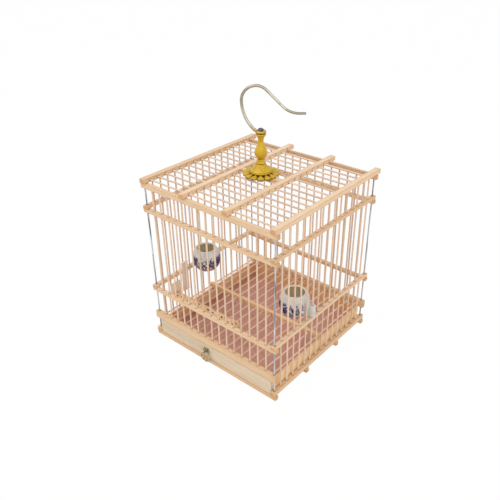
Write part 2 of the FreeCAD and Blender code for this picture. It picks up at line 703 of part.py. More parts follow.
def make_baluster():
    bore, tall = value(bolt_hole), size("baluster_height")
    foot = (size("bell_radius"), 0)
    rim = (foot[0], size("bell_rim"))
    bell_top = (size("bell_top_radius"), size("bell_height"))
    bell_middle = (0.4 * rim[0] + 0.6 * bell_top[0], 0.54 * rim[1] + 0.46 * bell_top[1])
    groove = (bell_top[0] - size("groove_depth"), bell_top[1] + size("groove_width") / 2)
    groove_top = (bell_top[0], bell_top[1] + size("groove_width"))
    waist = (size("waist_radius"), size("waist_height"))
    bulb = (size("bulb_radius"), size("bulb_height"))
    neck = (size("neck_radius"), size("neck_height"))
    shoulder = ((bulb[0] + neck[0]) / 2, (bulb[1] + neck[1]) / 2)
    cap_low = (size("cap_radius"), tall - size("cap_rim"))
    cap_middle = (size("cap_radius") + size("cap_swell"), tall - size("cap_rim") / 2)
    cap_top = (size("cap_radius"), tall)
    outline = [
        ((bore, 0), foot),
        (foot, rim),
        (rim, bell_middle, bell_top),
        (bell_top, groove, groove_top),
        (groove_top, upright_arc_middle(waist, groove_top), waist),
        (waist, upright_arc_middle(bulb, waist), bulb),
        (bulb, upright_arc_middle(bulb, shoulder), shoulder),
        (shoulder, upright_arc_middle(neck, shoulder), neck),
        (neck, upright_arc_middle(neck, cap_low), cap_low),
        (cap_low, cap_middle, cap_top),
        (cap_top, (bore, tall)),
        ((bore, tall), (bore, 0)),
    ]
    lift = FreeCAD.Placement(Vector(0, 0, value(flange_top)), FreeCAD.Rotation())
    shaped("hook_baluster_turned", "hook_baluster", turned(outline), lift)


def make_bolt():
    nut_low = "(%s - dims.washer_thickness - dims.nut_height)" % top_bar_z
    shank = cylinder("hook_bolt_shank", bolt_radius, "%s - %s" % (head_low, nut_low), ("0", "0", nut_low))
    head = cylinder("hook_bolt_head", "dims.bolt_head_radius", "dims.bolt_head_height", ("0", "0", head_low))
    keep(fused("hook_bolt_union", [shank, head]), "hook_bolt")
    washer_low = "(%s - dims.washer_thickness)" % top_bar_z
    washer = cylinder("hook_washer_disc", "dims.washer_radius", "dims.washer_thickness", ("0", "0", washer_low))
    drilled("hook_washer", washer, upright_holes("hook_washer", [("0", "0")], bolt_hole, washer_low, top_bar_z))
    nut = doc.addObject("Part::Prism", "hook_nut_prism")
    nut.Polygon = 6
    nut.setExpression("Circumradius", "dims.nut_radius")
    nut.setExpression("Height", "dims.nut_height")
    place(nut, ("0", "0", nut_low))
    drilled("hook_nut", nut, upright_holes("hook_nut", [("0", "0")], bolt_hole, nut_low, washer_low))


# Hook: an eye under the bolt head and one bent wire of tangent arcs and runs
def make_hook():
    eye_z, eye = value(hook_eye_z), size("hook_eye_radius")
    bend, throat = size("hook_bend_radius"), size("hook_throat")
    bend_z = size("cage_height") + size("hook_bend_height")
    tip_z, tip_radius = size("cage_height") + size("hook_tip_height"), size("hook_tip_radius")
    wire = size("hook_wire") / 2

    def at(along, height):
        return Vector(along, 0, height)

    stalk_middle = at(*upright_arc_middle((-throat, bend_z), (-eye, eye_z)))
    bend_x, slope = bend - throat, math.radians(45)
    shoulder = at(bend_x + bend * math.cos(slope), bend_z + bend * math.sin(slope))
    crown_turn = math.radians(112.5)
    crown = at(bend_x + bend * math.cos(crown_turn), bend_z + bend * math.sin(crown_turn))
    tangent = tip_radius * math.tan(slope / 2)
    corner_x = shoulder.x + shoulder.z - tip_z
    dip_start = at(corner_x - tangent * math.cos(slope), tip_z + tangent * math.sin(slope))
    dip_end = at(corner_x + tangent, tip_z)
    dip_middle = at(dip_end.x - tip_radius * math.sin(slope / 2), tip_z + tip_radius * (1 - math.cos(slope / 2)))
    tip = at(dip_end.x + size("hook_tip_length"), tip_z)
    start, outside = at(-eye, eye_z), at(-throat, bend_z)
    path = Part.Wire([
        Part.Arc(start, stalk_middle, outside).toShape(),
        Part.Arc(outside, crown, shoulder).toShape(),
        Part.LineSegment(shoulder, dip_start).toShape(),
        Part.Arc(dip_start, dip_middle, dip_end).toShape(),
        Part.LineSegment(dip_end, tip).toShape(),
    ])
    direction = path.Edges[0].tangentAt(path.Edges[0].FirstParameter)
    section = Part.Wire(Part.Circle(start, direction, wire).toShape())
    tube = path.makePipeShell([section], True, False)
    length_error = abs(tube.Volume / (math.pi * wire ** 2 * path.Length) - 1)
    if length_error > 0.02:
        raise RuntimeError("hook wire volume is off")
    eye_ring = Part.makeTorus(eye, wire, Vector(0, 0, eye_z))
    turn = FreeCAD.Placement(Vector(), FreeCAD.Rotation(Vector(0, 0, 1), size("hook_turn")))
    shaped("hook_wire_bent", "hook_wire", eye_ring.fuse(tube), turn)


# Porcelain cups: a barrel bowl with an ear at its back that is threaded on a wall rod and rests on the rail
def cup_shape():
    tall, wall, reach = size("cup_height"), size("cup_wall"), size("cup_reach")
    foot, belly, mouth = size("cup_foot_radius"), size("cup_belly_radius"), size("cup_mouth_radius")
    ear, ear_tall = size("ear_radius"), size("ear_height")
    belly_z = size("cup_belly_height")
    outside = [
        ((0, 0), (foot, 0)),
        ((foot, 0), (belly, belly_z), (mouth, tall)),
        ((mouth, tall), (0, tall)),
        ((0, tall), (0, 0)),
    ]
    hollow = [
        ((0, wall), (foot - wall, wall)),
        ((foot - wall, wall), (belly - wall, belly_z), (mouth - wall, tall)),
        ((mouth - wall, tall), (0, tall)),
        ((0, tall), (0, wall)),
    ]
    middle = Vector(-reach, 0, 0)
    bowl = turned(outside).translated(middle)
    arm = Part.makeBox(reach - foot / 2, 2 * ear, ear_tall, Vector(foot / 2 - reach, -ear, 0))
    knuckle = Part.makeCylinder(ear, ear_tall)
    hole = Part.makeCylinder(value(rod_radius) + size("ear_play"), ear_tall)
    return bowl.fuse([arm, knuckle]).cut([turned(hollow).translated(middle), hole]).removeSplitter()


def make_cups():
    rod_x, rod_y = value(wire_x), value(side_rod_y(size("cup_rod_number")))
    seat = value(mid_side_top) + size("cup_seat_gap")
    turn = FreeCAD.Rotation(Vector(0, 0, 1), size("right_cup_turn"))
    shaped("right_cup_shape", "right_cup", cup_shape(), FreeCAD.Placement(Vector(rod_x, rod_y, seat), turn))
    half_round = FreeCAD.Rotation(Vector(0, 0, 1), 180)
    shaped("left_cup_shape", "left_cup", cup_shape(), FreeCAD.Placement(Vector(-rod_x, rod_y, seat), half_round))


# Perch: a stick with a rounded free end, screwed through a plate and a washer to the left wall
perch_y = side_rod_y(size("perch_gap_number") + 0.5)


def make_perch():
    plate_outer = "(-%s + %s)" % (wire_x, rod_radius)
    plate_inner = "(%s + dims.perch_plate_thickness)" % plate_outer
    radius, length = size("perch_diameter") / 2, size("perch_length")
    screw_radius, grip = size("perch_screw_diameter") / 2 + size("glued_clearance"), size("perch_screw_grip")
    shoulder, dome = size("perch_end_radius"), size("perch_dome_height")
    dome_radius = (shoulder ** 2 + dome ** 2) / (2 * dome)
    half_turn = math.asin(shoulder / dome_radius) / 2
    dome_middle = (dome_radius * math.sin(half_turn), length - dome_radius * (1 - math.cos(half_turn)))
    outline = [
        ((screw_radius, 0), (shoulder, 0)),
        ((shoulder, 0), (radius, length / 2), (shoulder, length - dome)),
        ((shoulder, length - dome), dome_middle, (0, length)),
        ((0, length), (0, grip)),
        ((0, grip), (screw_radius, grip)),
        ((screw_radius, grip), (screw_radius, 0)),
    ]
    seat = Vector(value(plate_inner), value(perch_y), size("perch_height"))
    shaped("perch_stick", "perch", turned(outline), FreeCAD.Placement(seat, axis_turns["X"]))

    def bored(label, blank, start, length):
        bore = cylinder(label + "_bore", perch_hole, length, (start, perch_y, "dims.perch_height"), "X")
        drilled(label, blank, [bore])

    perch_hole = "(dims.perch_screw_diameter / 2 + dims.glued_clearance)"
    low_z = "(dims.perch_height - dims.perch_plate_drop)"
    plate_height = "%s - dims.perch_plate_gap - %s" % (mid_side_z, low_z)
    lengths = ("dims.perch_plate_thickness", "dims.perch_plate_width", plate_height)
    corner = (plate_outer, "%s - dims.perch_plate_width / 2" % perch_y, low_z)
    bored("perch_plate", box("perch_plate_box", lengths, corner), plate_outer, "dims.perch_plate_thickness")
    washer_inner = "(-%s - %s)" % (wire_x, rod_radius)
    washer_outer = "(%s - dims.perch_washer_thickness)" % washer_inner
    disc = cylinder(
        "perch_washer_disc", "dims.perch_washer_radius", "dims.perch_washer_thickness",
        (washer_outer, perch_y, "dims.perch_height"), "X",
    )
    bored("perch_washer", disc, washer_outer, "dims.perch_washer_thickness")
    head = cylinder(
        "perch_screw_head", "dims.perch_head_radius", "dims.perch_head_height",
        ("%s - dims.perch_head_height" % washer_outer, perch_y, "dims.perch_height"), "X",
    )
    shank = cylinder(
        "perch_screw_shank", "dims.perch_screw_diameter / 2", "%s + dims.perch_screw_grip - %s" % (
            plate_inner, washer_outer), (washer_outer, perch_y, "dims.perch_height"), "X",
    )
    keep(fused("perch_screw_union", [head, shank]), "perch_screw")


# Upright slat glued to the inner face of the middle left rail
def make_wall_slat():
    lengths = ("dims.slat_thickness", "dims.slat_width", "dims.slat_height")
    low_y = "%s + dims.perch_plate_width / 2 + dims.slat_gap" % perch_y
    corner = ("-%s + %s" % (wire_x, half_rail), low_y, "dims.slat_bottom")
    keep(box("wall_slat_box", lengths, corner), "wall_slat")


def check_and_write():
    doc.recompute()
    failed = [item.Name for item in doc.Objects if "Invalid" in item.State or "Error" in item.State]
    failed += [part.Label for part in sub_parts if part.Shape.isNull() or not part.Shape.isValid()]
    if failed:
        raise RuntimeError("failed objects: " + ", ".join(failed))
    os.makedirs("parts", exist_ok=True)
    for part in sub_parts:
        part.Shape.exportStep("parts/%s.step" % part.Label)
    print(len(sub_parts), "sub-parts written")


make_bottom()
make_wall_rails()
make_top()
make_rods()
make_floor_bar()
make_corner_wires()
make_door()
make_drawer_front()
make_drawer_boards()
make_pull()
make_flange()
make_baluster()
make_bolt()
make_hook()
make_cups()
make_perch()
make_wall_slat()
check_and_write()
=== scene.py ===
import bpy
import json
import math
from mathutils import Matrix, Vector, noise


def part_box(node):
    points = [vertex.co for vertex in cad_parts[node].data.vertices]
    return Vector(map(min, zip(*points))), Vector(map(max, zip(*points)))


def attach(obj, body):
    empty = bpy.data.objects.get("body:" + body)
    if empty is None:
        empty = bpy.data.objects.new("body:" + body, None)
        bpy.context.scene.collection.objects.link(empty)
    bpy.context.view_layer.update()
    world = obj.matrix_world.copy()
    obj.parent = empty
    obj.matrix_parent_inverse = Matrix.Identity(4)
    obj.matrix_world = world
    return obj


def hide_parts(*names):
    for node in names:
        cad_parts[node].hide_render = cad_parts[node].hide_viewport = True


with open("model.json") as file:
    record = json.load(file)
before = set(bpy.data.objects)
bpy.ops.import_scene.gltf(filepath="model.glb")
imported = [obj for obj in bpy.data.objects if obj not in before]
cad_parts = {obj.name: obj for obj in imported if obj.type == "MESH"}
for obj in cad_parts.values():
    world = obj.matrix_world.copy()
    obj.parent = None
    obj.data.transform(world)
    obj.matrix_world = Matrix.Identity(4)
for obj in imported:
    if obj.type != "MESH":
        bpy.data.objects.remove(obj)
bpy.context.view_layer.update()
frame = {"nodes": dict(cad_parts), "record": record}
scene = bpy.context.scene
mm = 0.001
fullTurn = 2 * math.pi


def srgb(red, green, blue):
    def straight(level):
        part = level / 255
        return part / 12.92 if part <= 0.04045 else ((part + 0.055) / 1.055) ** 2.4
    return (straight(red), straight(green), straight(blue), 1.0)


# small helpers for node trees; an item is a socket to link or a value to set
def feed(tree, socket, item):
    if isinstance(item, bpy.types.NodeSocket):
        tree.links.new(item, socket)
    else:
        socket.default_value = item


def addNode(tree, kind, inputs=None, **settings):
    node = tree.nodes.new(kind)
    for key, item in settings.items():
        setattr(node, key, item)
    for key, item in (inputs or {}).items():
        feed(tree, node.inputs[key], item)
    return node


def calc(tree, operation, *terms, clamp=False):
    wiring = dict(enumerate(terms))
    return addNode(tree, "ShaderNodeMath", wiring, operation=operation, use_clamp=clamp).outputs[0]


def plus(tree, first, second):
    return calc(tree, "ADD", first, second)


def minus(tree, first, second):
    return calc(tree, "SUBTRACT", first, second)


def times(tree, first, second, clamp=False):
    return calc(tree, "MULTIPLY", first, second, clamp=clamp)


def larger(tree, first, second):
    return calc(tree, "MAXIMUM", first, second)


def unsigned(tree, level):
    return calc(tree, "ABSOLUTE", level)


def distance(tree, side, rise):
    return calc(tree, "SQRT", plus(tree, times(tree, side, side), times(tree, rise, rise)))


def vectorCalc(tree, operation, first, second):
    return addNode(tree, "ShaderNodeVectorMath", {0: first, 1: second}, operation=operation).outputs[0]


def joined(tree, x=0.0, y=0.0, z=0.0):
    return addNode(tree, "ShaderNodeCombineXYZ", {0: x, 1: y, 2: z}).outputs[0]


def parted(tree, vector):
    return list(addNode(tree, "ShaderNodeSeparateXYZ", {0: vector}).outputs)


def stepped(tree, level, low, high):
    wiring = {"Value": level, "From Min": low, "From Max": high}
    return addNode(tree, "ShaderNodeMapRange", wiring, interpolation_type="SMOOTHSTEP").outputs[0]


def spread(tree, level, low, high):
    return addNode(tree, "ShaderNodeMapRange", {"Value": level, "To Min": low, "To Max": high}).outputs[0]


def blended(tree, factor, first, second):
    return addNode(tree, "ShaderNodeMix", {0: factor, 6: first, 7: second}, data_type="RGBA").outputs[2]


def noiseLevel(tree, vector, scale, detail=3.0, rough=0.55):
    wiring = {"Vector": vector, "Scale": scale, "Detail": detail, "Roughness": rough}
    return addNode(tree, "ShaderNodeTexNoise", wiring).outputs["Fac"]


def bump(tree, height, strength, depth):
    wiring = {"Height": height, "Strength": strength, "Distance": depth}
    return addNode(tree, "ShaderNodeBump", wiring).outputs["Normal"]


def objectCoords(tree):
    return addNode(tree, "ShaderNodeTexCoord").outputs["Object"]


def uvCoords(tree, name):
    return addNode(tree, "ShaderNodeUVMap", uv_map=name).outputs["UV"]


def attribute(tree, name):
    return addNode(tree, "ShaderNodeAttribute", attribute_name=name).outputs["Fac"]


# kind is Shader or Geometry; inputs and outputs give each socket's name and sort
def newGroup(kind, name, inputs, outputs):
    tree = bpy.data.node_groups.new(name, kind + "NodeTree")
    for way, sockets in (("INPUT", inputs), ("OUTPUT", outputs)):
        for label, sort in sockets.items():
            tree.interface.new_socket(label, in_out=way, socket_type="NodeSocket" + sort)
    return tree, tree.nodes.new("NodeGroupInput").outputs, tree.nodes.new("NodeGroupOutput").inputs


def useGroup(tree, group, inputs):
    return addNode(tree, "ShaderNodeGroup", inputs, node_tree=group).outputs


def newMaterial(name):
    material = bpy.data.materials.new(name)
    material.use_nodes = True
    tree = material.node_tree
    return material, tree, tree.nodes["Principled BSDF"]


def setSurface(tree, shader, colour, rough, normal):
    feed(tree, shader.inputs["Base Color"], colour)
    feed(tree, shader.inputs["Roughness"], rough)
    feed(tree, shader.inputs["Normal"], normal)


# noise scales, and how far the fibre and its flecks are drawn out along X
fibreScale = {
    "band": 150.0, "streak": 620.0, "line": 2600.0, "fleck": 1500.0, "drawn": 0.022, "fleckDrawn": 9.0,
}


# wood fibre: long streaks, fine lines and short dark flecks; X of the vector runs along the fibre
def makeFibreGroup():
    tree, given, out = newGroup("Shader", "woodFibre", {
        "Vector": "Vector", "Tone": "Float", "Pale": "Color", "Deep": "Color", "Fleck": "Color",
        "Streak Width": "Float", "Fleck Amount": "Float",
    }, {"Color": "Color", "Height": "Float"})
    across = calc(tree, "DIVIDE", 1.0, given["Streak Width"])
    laid = vectorCalc(tree, "MULTIPLY", given["Vector"], joined(tree, fibreScale["drawn"], across, across))
    streak = noiseLevel(tree, laid, fibreScale["streak"], 4.0, 0.6)
    line = noiseLevel(tree, laid, fibreScale["line"], 2.0, 0.5)
    band = noiseLevel(tree, laid, fibreScale["band"], 2.0, 0.5)
    level = 0.0
    for part, share in ((streak, 0.9), (line, 0.45), (band, 0.5), (given["Tone"], 0.55)):
        level = plus(tree, level, times(tree, part, share))
    ground = blended(tree, stepped(tree, level, 0.72, 1.6), given["Deep"], given["Pale"])
    short = vectorCalc(tree, "MULTIPLY", laid, (fibreScale["fleckDrawn"], 1.0, 1.0))
    fleck = stepped(tree, noiseLevel(tree, short, fibreScale["fleck"], 2.0, 0.5), 0.62, 0.72)
    colour = blended(tree, times(tree, fleck, given["Fleck Amount"]), ground, given["Fleck"])
    feed(tree, out["Color"], colour)
    feed(tree, out["Height"], minus(tree, line, times(tree, fleck, 0.5)))
    return tree


# worn edges with painted light: an edge attribute broken up by noise; the bamboo strips darken it as painted
# shade, the gilt brightens it as painted highlight
def makeEdgeShadingGroup():
    inputs = {"Vector": "Vector", "Edge": "Float", "Amount": "Float"}
    tree, given, out = newGroup("Shader", "edgeWearAndShading", inputs, {"Mask": "Float"})
    chips = noiseLevel(tree, given["Vector"], 420.0, 4.0, 0.65)
    raised = plus(tree, given["Edge"], minus(tree, times(tree, chips, 1.2), 0.6))
    feed(tree, out["Mask"], times(tree, stepped(tree, raised, 0.45, 1.0), given["Amount"], clamp=True))
    return tree


# handling marks and dust: slow cloudy stains with fine grit
def makeGrimeGroup():
    inputs = {"Vector": "Vector", "Patch": "Float", "Amount": "Float"}
    tree, given, out = newGroup("Shader", "grime", inputs, {"Mask": "Float"})
    cloud = stepped(tree, noiseLevel(tree, given["Vector"], given["Patch"], 4.0, 0.6), 0.42, 0.72)
    grit = stepped(tree, noiseLevel(tree, given["Vector"], 1900.0, 2.0, 0.6), 0.5, 0.75)
    both = plus(tree, times(tree, cloud, 0.75), times(tree, grit, 0.25))
    feed(tree, out["Mask"], times(tree, both, given["Amount"], clamp=True))
    return tree


# scorched rims where rods enter a rail: a row of round spots along one direction
def makeDrillGroup():
    inputs = {"Along": "Float", "Across": "Float", "Pitch": "Float", "Radius": "Float"}
    tree, given, out = newGroup("Shader", "drillMarks", inputs, {"Mask": "Float"})
    place = plus(tree, calc(tree, "DIVIDE", given["Along"], given["Pitch"]), 0.5)
    offset = times(tree, minus(tree, calc(tree, "FRACT", place), 0.5), given["Pitch"])
    reach = calc(tree, "DIVIDE", distance(tree, offset, given["Across"]), given["Radius"])
    feed(tree, out["Mask"], minus(tree, 1.0, stepped(tree, reach, 0.85, 1.35)))
    return tree


# a row of brush-painted flowers round a cup; lobes, veins between them and an open heart
def makeFlowerGroup():
    labels = ("Turn", "Height", "Count", "Phase", "Centre", "Size", "Petals", "Girth", "Tall")
    tree, given, out = newGroup("Shader", "paintedFlower", dict.fromkeys(labels, "Float"), {"Mask": "Float"})
    cell = calc(tree, "FRACT", plus(tree, times(tree, given["Turn"], given["Count"]), given["Phase"]))
    cellWidth = calc(tree, "DIVIDE", given["Girth"], given["Count"])
    side = times(tree, minus(tree, cell, 0.5), cellWidth)
    rise = times(tree, minus(tree, given["Height"], given["Centre"]), given["Tall"])
    reach = distance(tree, side, rise)
    angle = calc(tree, "ARCTAN2", rise, side)
    wave = calc(tree, "COSINE", times(tree, angle, given["Petals"]))
    lobe = times(tree, given["Size"], plus(tree, 0.74, times(tree, wave, 0.26)))
    inside = stepped(tree, minus(tree, lobe, reach), -0.15, 0.35)
    part = calc(tree, "DIVIDE", reach, given["Size"])
    heart = stepped(tree, unsigned(tree, minus(tree, part, 0.24)), 0.03, 0.07)
    halfPetals = calc(tree, "DIVIDE", given["Petals"], 2.0)
    vein = unsigned(tree, calc(tree, "SINE", times(tree, angle, halfPetals)))
    gap = larger(tree, stepped(tree, vein, 0.06, 0.2), calc(tree, "LESS_THAN", part, 0.3))
    feed(tree, out["Mask"], times(tree, times(tree, inside, heart), gap))
    return tree


fibreGroup = makeFibreGroup()
edgeShadingGroup = makeEdgeShadingGroup()
grimeGroup = makeGrimeGroup()
drillGroup = makeDrillGroup()
flowerGroup = makeFlowerGroup()
print("shader groups made")


# the groups with the values of one look
def fibreWood(tree, vector, tone, look):
    return useGroup(tree, fibreGroup, {
        "Vector": vector, "Tone": tone, "Pale": look["pale"], "Deep": look["deep"], "Fleck": look["fleck"],
        "Streak Width": look["streakWidth"], "Fleck Amount": look["flecks"],
    })


def wearAndShadingMask(tree, point, amount):
    wiring = {"Vector": point, "Edge": attribute(tree, "edge"), "Amount": amount}
    return useGroup(tree, edgeShadingGroup, wiring)["Mask"]


def grimeMask(tree, point, look):
    wiring = {"Vector": point, "Patch": look["patch"], "Amount": look["grime"]}
    return useGroup(tree, grimeGroup, wiring)["Mask"]


# where the rods stand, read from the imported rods
wallCount = 15
frontLow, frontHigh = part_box("front_wall_rods")
sideLow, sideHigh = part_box("right_wall_rods")
floorLow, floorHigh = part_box("floor_rods")
roofLow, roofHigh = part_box("top_rods")
rodRadius = (sideHigh.x - sideLow.x) / 2
frontPitch = (frontHigh.x - frontLow.x - 2 * rodRadius) / (wallCount - 1)
sidePitch = (sideHigh.y - sideLow.y - 2 * rodRadius) / (wallCount - 1)
wallX = (sideLow.x + sideHigh.x) / 2
wallY = -(frontLow.y + frontHigh.y) / 2
roofZ = (roofLow.z + roofHigh.z) / 2
floorZ = (floorLow.z + floorHigh.z) / 2


# the edge colour is wear and painted shade on the strips' rounded corners
bambooLook = {
    "pale": srgb(240, 212, 180), "deep": srgb(222, 186, 146), "fleck": srgb(194, 148, 102),
    "edge": srgb(214, 170, 122), "end": srgb(206, 160, 110), "burn": srgb(108, 70, 40),
    "soil": srgb(204, 164, 118), "streakWidth": 1.0, "flecks": 0.55, "wearAndShading": 0.55, "burnt": 0.7,
    "patch": 38.0, "grime": 0.22, "sawMarks": 900.0,
    "rough": (-1.2, 2.2),           # fibre heights of full gloss and of none
    "relief": (0.35, 0.2 * mm),     # strength and depth of the bump
}
# a warmer copy of the rail colours for the floor centre bar: painted warm shade
shadeTintLook = {**bambooLook, "pale": srgb(246, 210, 166), "deep": srgb(228, 186, 140)}
drillCut = {
    "rim": 1.4,                     # reach of the scorch in rod radii
    "under": (0.6 * mm, 0.2 * mm),  # it fades out this far above a piece's underside
    "outX": (3.7 * mm, 3.2 * mm),   # and this far outside a wall
    "outY": (2.9 * mm, 2.5 * mm),
}


# upright rods enter rails from above or below, up to the underside of the top pieces
def drillMask(tree, point):
    x, y, z = parted(tree, point)
    farX = minus(tree, unsigned(tree, x), wallX)
    farY = minus(tree, unsigned(tree, y), wallY)
    underRail, underBar = [
        stepped(tree, z, *(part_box(node)[0].z + fade for fade in drillCut["under"]))
        for node in ("top_front_rail", "top_left_bar")
    ]
    rows = [
        (x, farY, frontPitch, underRail),
        (y, farX, sidePitch, underBar),
        (plus(tree, y, sidePitch / 2), minus(tree, z, roofZ), sidePitch, 1.0),
        (plus(tree, x, frontPitch / 2), minus(tree, z, floorZ), frontPitch, 1.0),
    ]
    total = 0.0
    for along, across, pitch, share in rows:
        wiring = {"Along": along, "Across": across, "Pitch": pitch, "Radius": drillCut["rim"] * rodRadius}
        mark = useGroup(tree, drillGroup, wiring)["Mask"]
        total = larger(tree, total, times(tree, mark, share))
    # outer faces of the edge bars and of the low rails aren't pierced
    inner = times(tree, stepped(tree, farX, *drillCut["outX"]), stepped(tree, farY, *drillCut["outY"]))
    return times(tree, total, inner)


def makeBambooRail(name, look):
    material, tree, shader = newMaterial(name)
    point = objectCoords(tree)
    tone = attribute(tree, "tone")
    lay = vectorCalc(tree, "ADD", uvCoords(tree, "grain"), joined(tree, tone, tone, tone))
    wood = fibreWood(tree, lay, tone, look)
    # the golden edge colour is wear and painted shade on the strips' rounded corners
    colour = blended(tree, wearAndShadingMask(tree, point, look["wearAndShading"]), wood["Color"], look["edge"])
    sawn = stepped(tree, noiseLevel(tree, point, look["sawMarks"]), 0.25, 0.6)
    colour = blended(tree, times(tree, attribute(tree, "cut"), sawn), colour, look["end"])
    colour = blended(tree, times(tree, drillMask(tree, point), look["burnt"]), colour, look["burn"])
    colour = blended(tree, grimeMask(tree, point, look), colour, look["soil"])
    rough = stepped(tree, wood["Height"], *look["rough"])
    setSurface(tree, shader, colour, rough, bump(tree, wood["Height"], *look["relief"]))
    return material


rodLook = {
    "pale": srgb(240, 215, 194), "deep": srgb(214, 186, 161), "fleck": srgb(178, 144, 116),
    "soil": srgb(190, 156, 116), "streakWidth": 0.8, "flecks": 0.5, "patch": 60.0, "grime": 0.2,
    "rough": (-1.2, 2.2), "relief": (0.3, 0.15 * mm), "shift": 0.7,
}
floorRodLook = {
    **rodLook, "pale": srgb(246, 212, 190), "deep": srgb(224, 184, 158), "fleck": srgb(190, 146, 116),
    "soil": srgb(200, 158, 122),
}


# each rod's tone also shifts its fibre, so that no two look alike
def makeBambooRod(name, look):
    material, tree, shader = newMaterial(name)
    point = objectCoords(tree)
    turn = times(tree, attribute(tree, "around"), fullTurn)
    tone = attribute(tree, "tone")
    shift = times(tree, tone, look["shift"])
    side, rise = [times(tree, calc(tree, wave, turn), rodRadius) for wave in ("COSINE", "SINE")]
    lay = joined(tree, *(plus(tree, part, shift) for part in (attribute(tree, "along"), side, rise)))
    wood = fibreWood(tree, lay, tone, look)
    colour = blended(tree, grimeMask(tree, point, look), wood["Color"], look["soil"])
    rough = stepped(tree, wood["Height"], *look["rough"])
    setSurface(tree, shader, colour, rough, bump(tree, wood["Height"], *look["relief"]))
    return material


# plain sawn boards, with the fibre laid along one axis
plainBoard = {
    "flecks": 0.4, "cloud": 24.0, "patch": 26.0, "grime": 0.25, "roughGrain": 0.25, "relief": (0.3, 0.2 * mm),
}
boardLooks = {
    "drawerFaceBoard": {
        "pale": srgb(232, 218, 196), "deep": srgb(208, 186, 158), "fleck": srgb(176, 146, 112),
        "fibre": "X", "streakWidth": 2.6, "rough": 0.42,
    },
    # the pale board is the perch plate's own cream, and on the wall slat it is painted light that lifts a
    # part standing in shade
    "paleBoard": {
        "pale": srgb(252, 240, 224), "deep": srgb(240, 220, 194), "fleck": srgb(206, 176, 138),
        "fibre": "Z", "streakWidth": 2.2, "rough": 0.45,
    },
    "drawerSideBoard": {
        "pale": srgb(255, 230, 190), "deep": srgb(240, 204, 158), "fleck": srgb(206, 162, 112),
        "fibre": "Y", "streakWidth": 1.8, "rough": 0.5,
    },
    "drawerBackBoard": {
        "pale": srgb(246, 210, 162), "deep": srgb(226, 184, 132), "fleck": srgb(190, 144, 92),
        "fibre": "X", "streakWidth": 1.8, "rough": 0.5,
    },
}
fibreTurns = {"X": (0, 0, 0), "Y": (0, 0, math.pi / 2), "Z": (0, math.pi / 2, 0)}


def makeBoard(name, look):
    material, tree, shader = newMaterial(name)
    point = objectCoords(tree)
    turned = addNode(tree, "ShaderNodeMapping", {"Vector": point, "Rotation": fibreTurns[look["fibre"]]})
    wood = fibreWood(tree, turned.outputs[0], noiseLevel(tree, point, look["cloud"], 2.0), look)
    colour = blended(tree, grimeMask(tree, point, look), wood["Color"], look["deep"])
    rough = plus(tree, look["rough"], times(tree, wood["Height"], look["roughGrain"]))
    setSurface(tree, shader, colour, rough, bump(tree, wood["Height"], *look["relief"]))
    return material


# the brown colour and the band along the left-hand board are a painted shadow
trayLook = {
    "pale": srgb(224, 176, 162), "deep": srgb(200, 148, 134), "fleck": srgb(166, 116, 100),
    "soil": srgb(212, 166, 148), "boardShadow": srgb(158, 98, 58), "tone": 0.4, "streakWidth": 3.0, "flecks": 0.3,
    "patch": 18.0, "grime": 0.35, "rough": (-0.8, 0.7), "relief": (0.25, 0.2 * mm),
    "boardShadowFrom": 4 * mm, "boardShadowReach": 26 * mm, "boardShadowAmount": 0.4,
}


def makeTrayBoard(look):
    material, tree, shader = newMaterial("trayBoard")
    point = objectCoords(tree)
    wood = fibreWood(tree, point, look["tone"], look)
    soiled = grimeMask(tree, point, look)
    colour = blended(tree, soiled, wood["Color"], look["soil"])
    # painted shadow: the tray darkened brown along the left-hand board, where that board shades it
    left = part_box("drawer_bottom")[0].x
    boardShadow = stepped(tree, parted(tree, point)[0], left + look["boardShadowReach"], left + look["boardShadowFrom"])
    colour = blended(tree, times(tree, boardShadow, look["boardShadowAmount"]), colour, look["boardShadow"])
    rough = stepped(tree, soiled, *look["rough"])
    setSurface(tree, shader, colour, rough, bump(tree, wood["Height"], *look["relief"]))
    return material


wireLook = {
    "base": srgb(240, 239, 242), "dull": srgb(204, 206, 213), "stainAndShade": srgb(52, 56, 64),
    "metal": 0.85, "rough": 0.34, "grain": 400.0, "cloud": 30.0, "patch": 160.0, "grime": 0.2,
    "stretch": (1, 1, 0.02), "lines": 1100.0, "dark": 0.8,
}
boltLook = {
    "base": srgb(150, 142, 148), "dull": srgb(104, 96, 104), "stainAndShade": srgb(62, 52, 60),
    "metal": 0.85, "rough": 0.38, "grain": 1200.0, "cloud": 400.0, "patch": 160.0, "grime": 0.35,
    "stretch": (1, 1, 1), "lines": 600.0, "dark": 0.5,
}
washerLook = {
    **boltLook, "base": srgb(190, 188, 184), "dull": srgb(158, 156, 154), "stainAndShade": srgb(104, 100, 96),
    "dark": 0.3,
}
# the hook's flanks setting paints shade on two opposite sides of its wire
hookLook = {
    "base": srgb(208, 206, 186), "dull": srgb(146, 132, 106), "stainAndShade": srgb(100, 88, 66),
    "metal": 0.8, "rough": 0.28, "grain": 500.0, "cloud": 26.0, "patch": 160.0, "grime": 0.15,
    "stretch": (1, 1, 1), "lines": 160.0, "dark": 0.6, "shadedFlanks": (0.72, 0.98),
    "worn": srgb(186, 154, 88), "wornTop": 297 * mm, "wornFade": 2 * mm,
}
ringLook = {
    "base": srgb(226, 210, 180), "dull": srgb(190, 172, 138), "stainAndShade": srgb(112, 102, 76),
    "metal": 0.7, "rough": 0.36, "grain": 700.0, "cloud": 180.0, "patch": 160.0, "grime": 0.4,
    "stretch": (1, 1, 1), "lines": 420.0, "dark": 0.7,
}
flowerLook = {
    **ringLook, "base": srgb(216, 200, 160), "dull": srgb(160, 144, 102), "stainAndShade": srgb(66, 60, 34),
    "grime": 0.5, "lines": 560.0, "dark": 0.8,
}
metalRelief = (0.25, 0.12 * mm)
roughSwing = 0.09
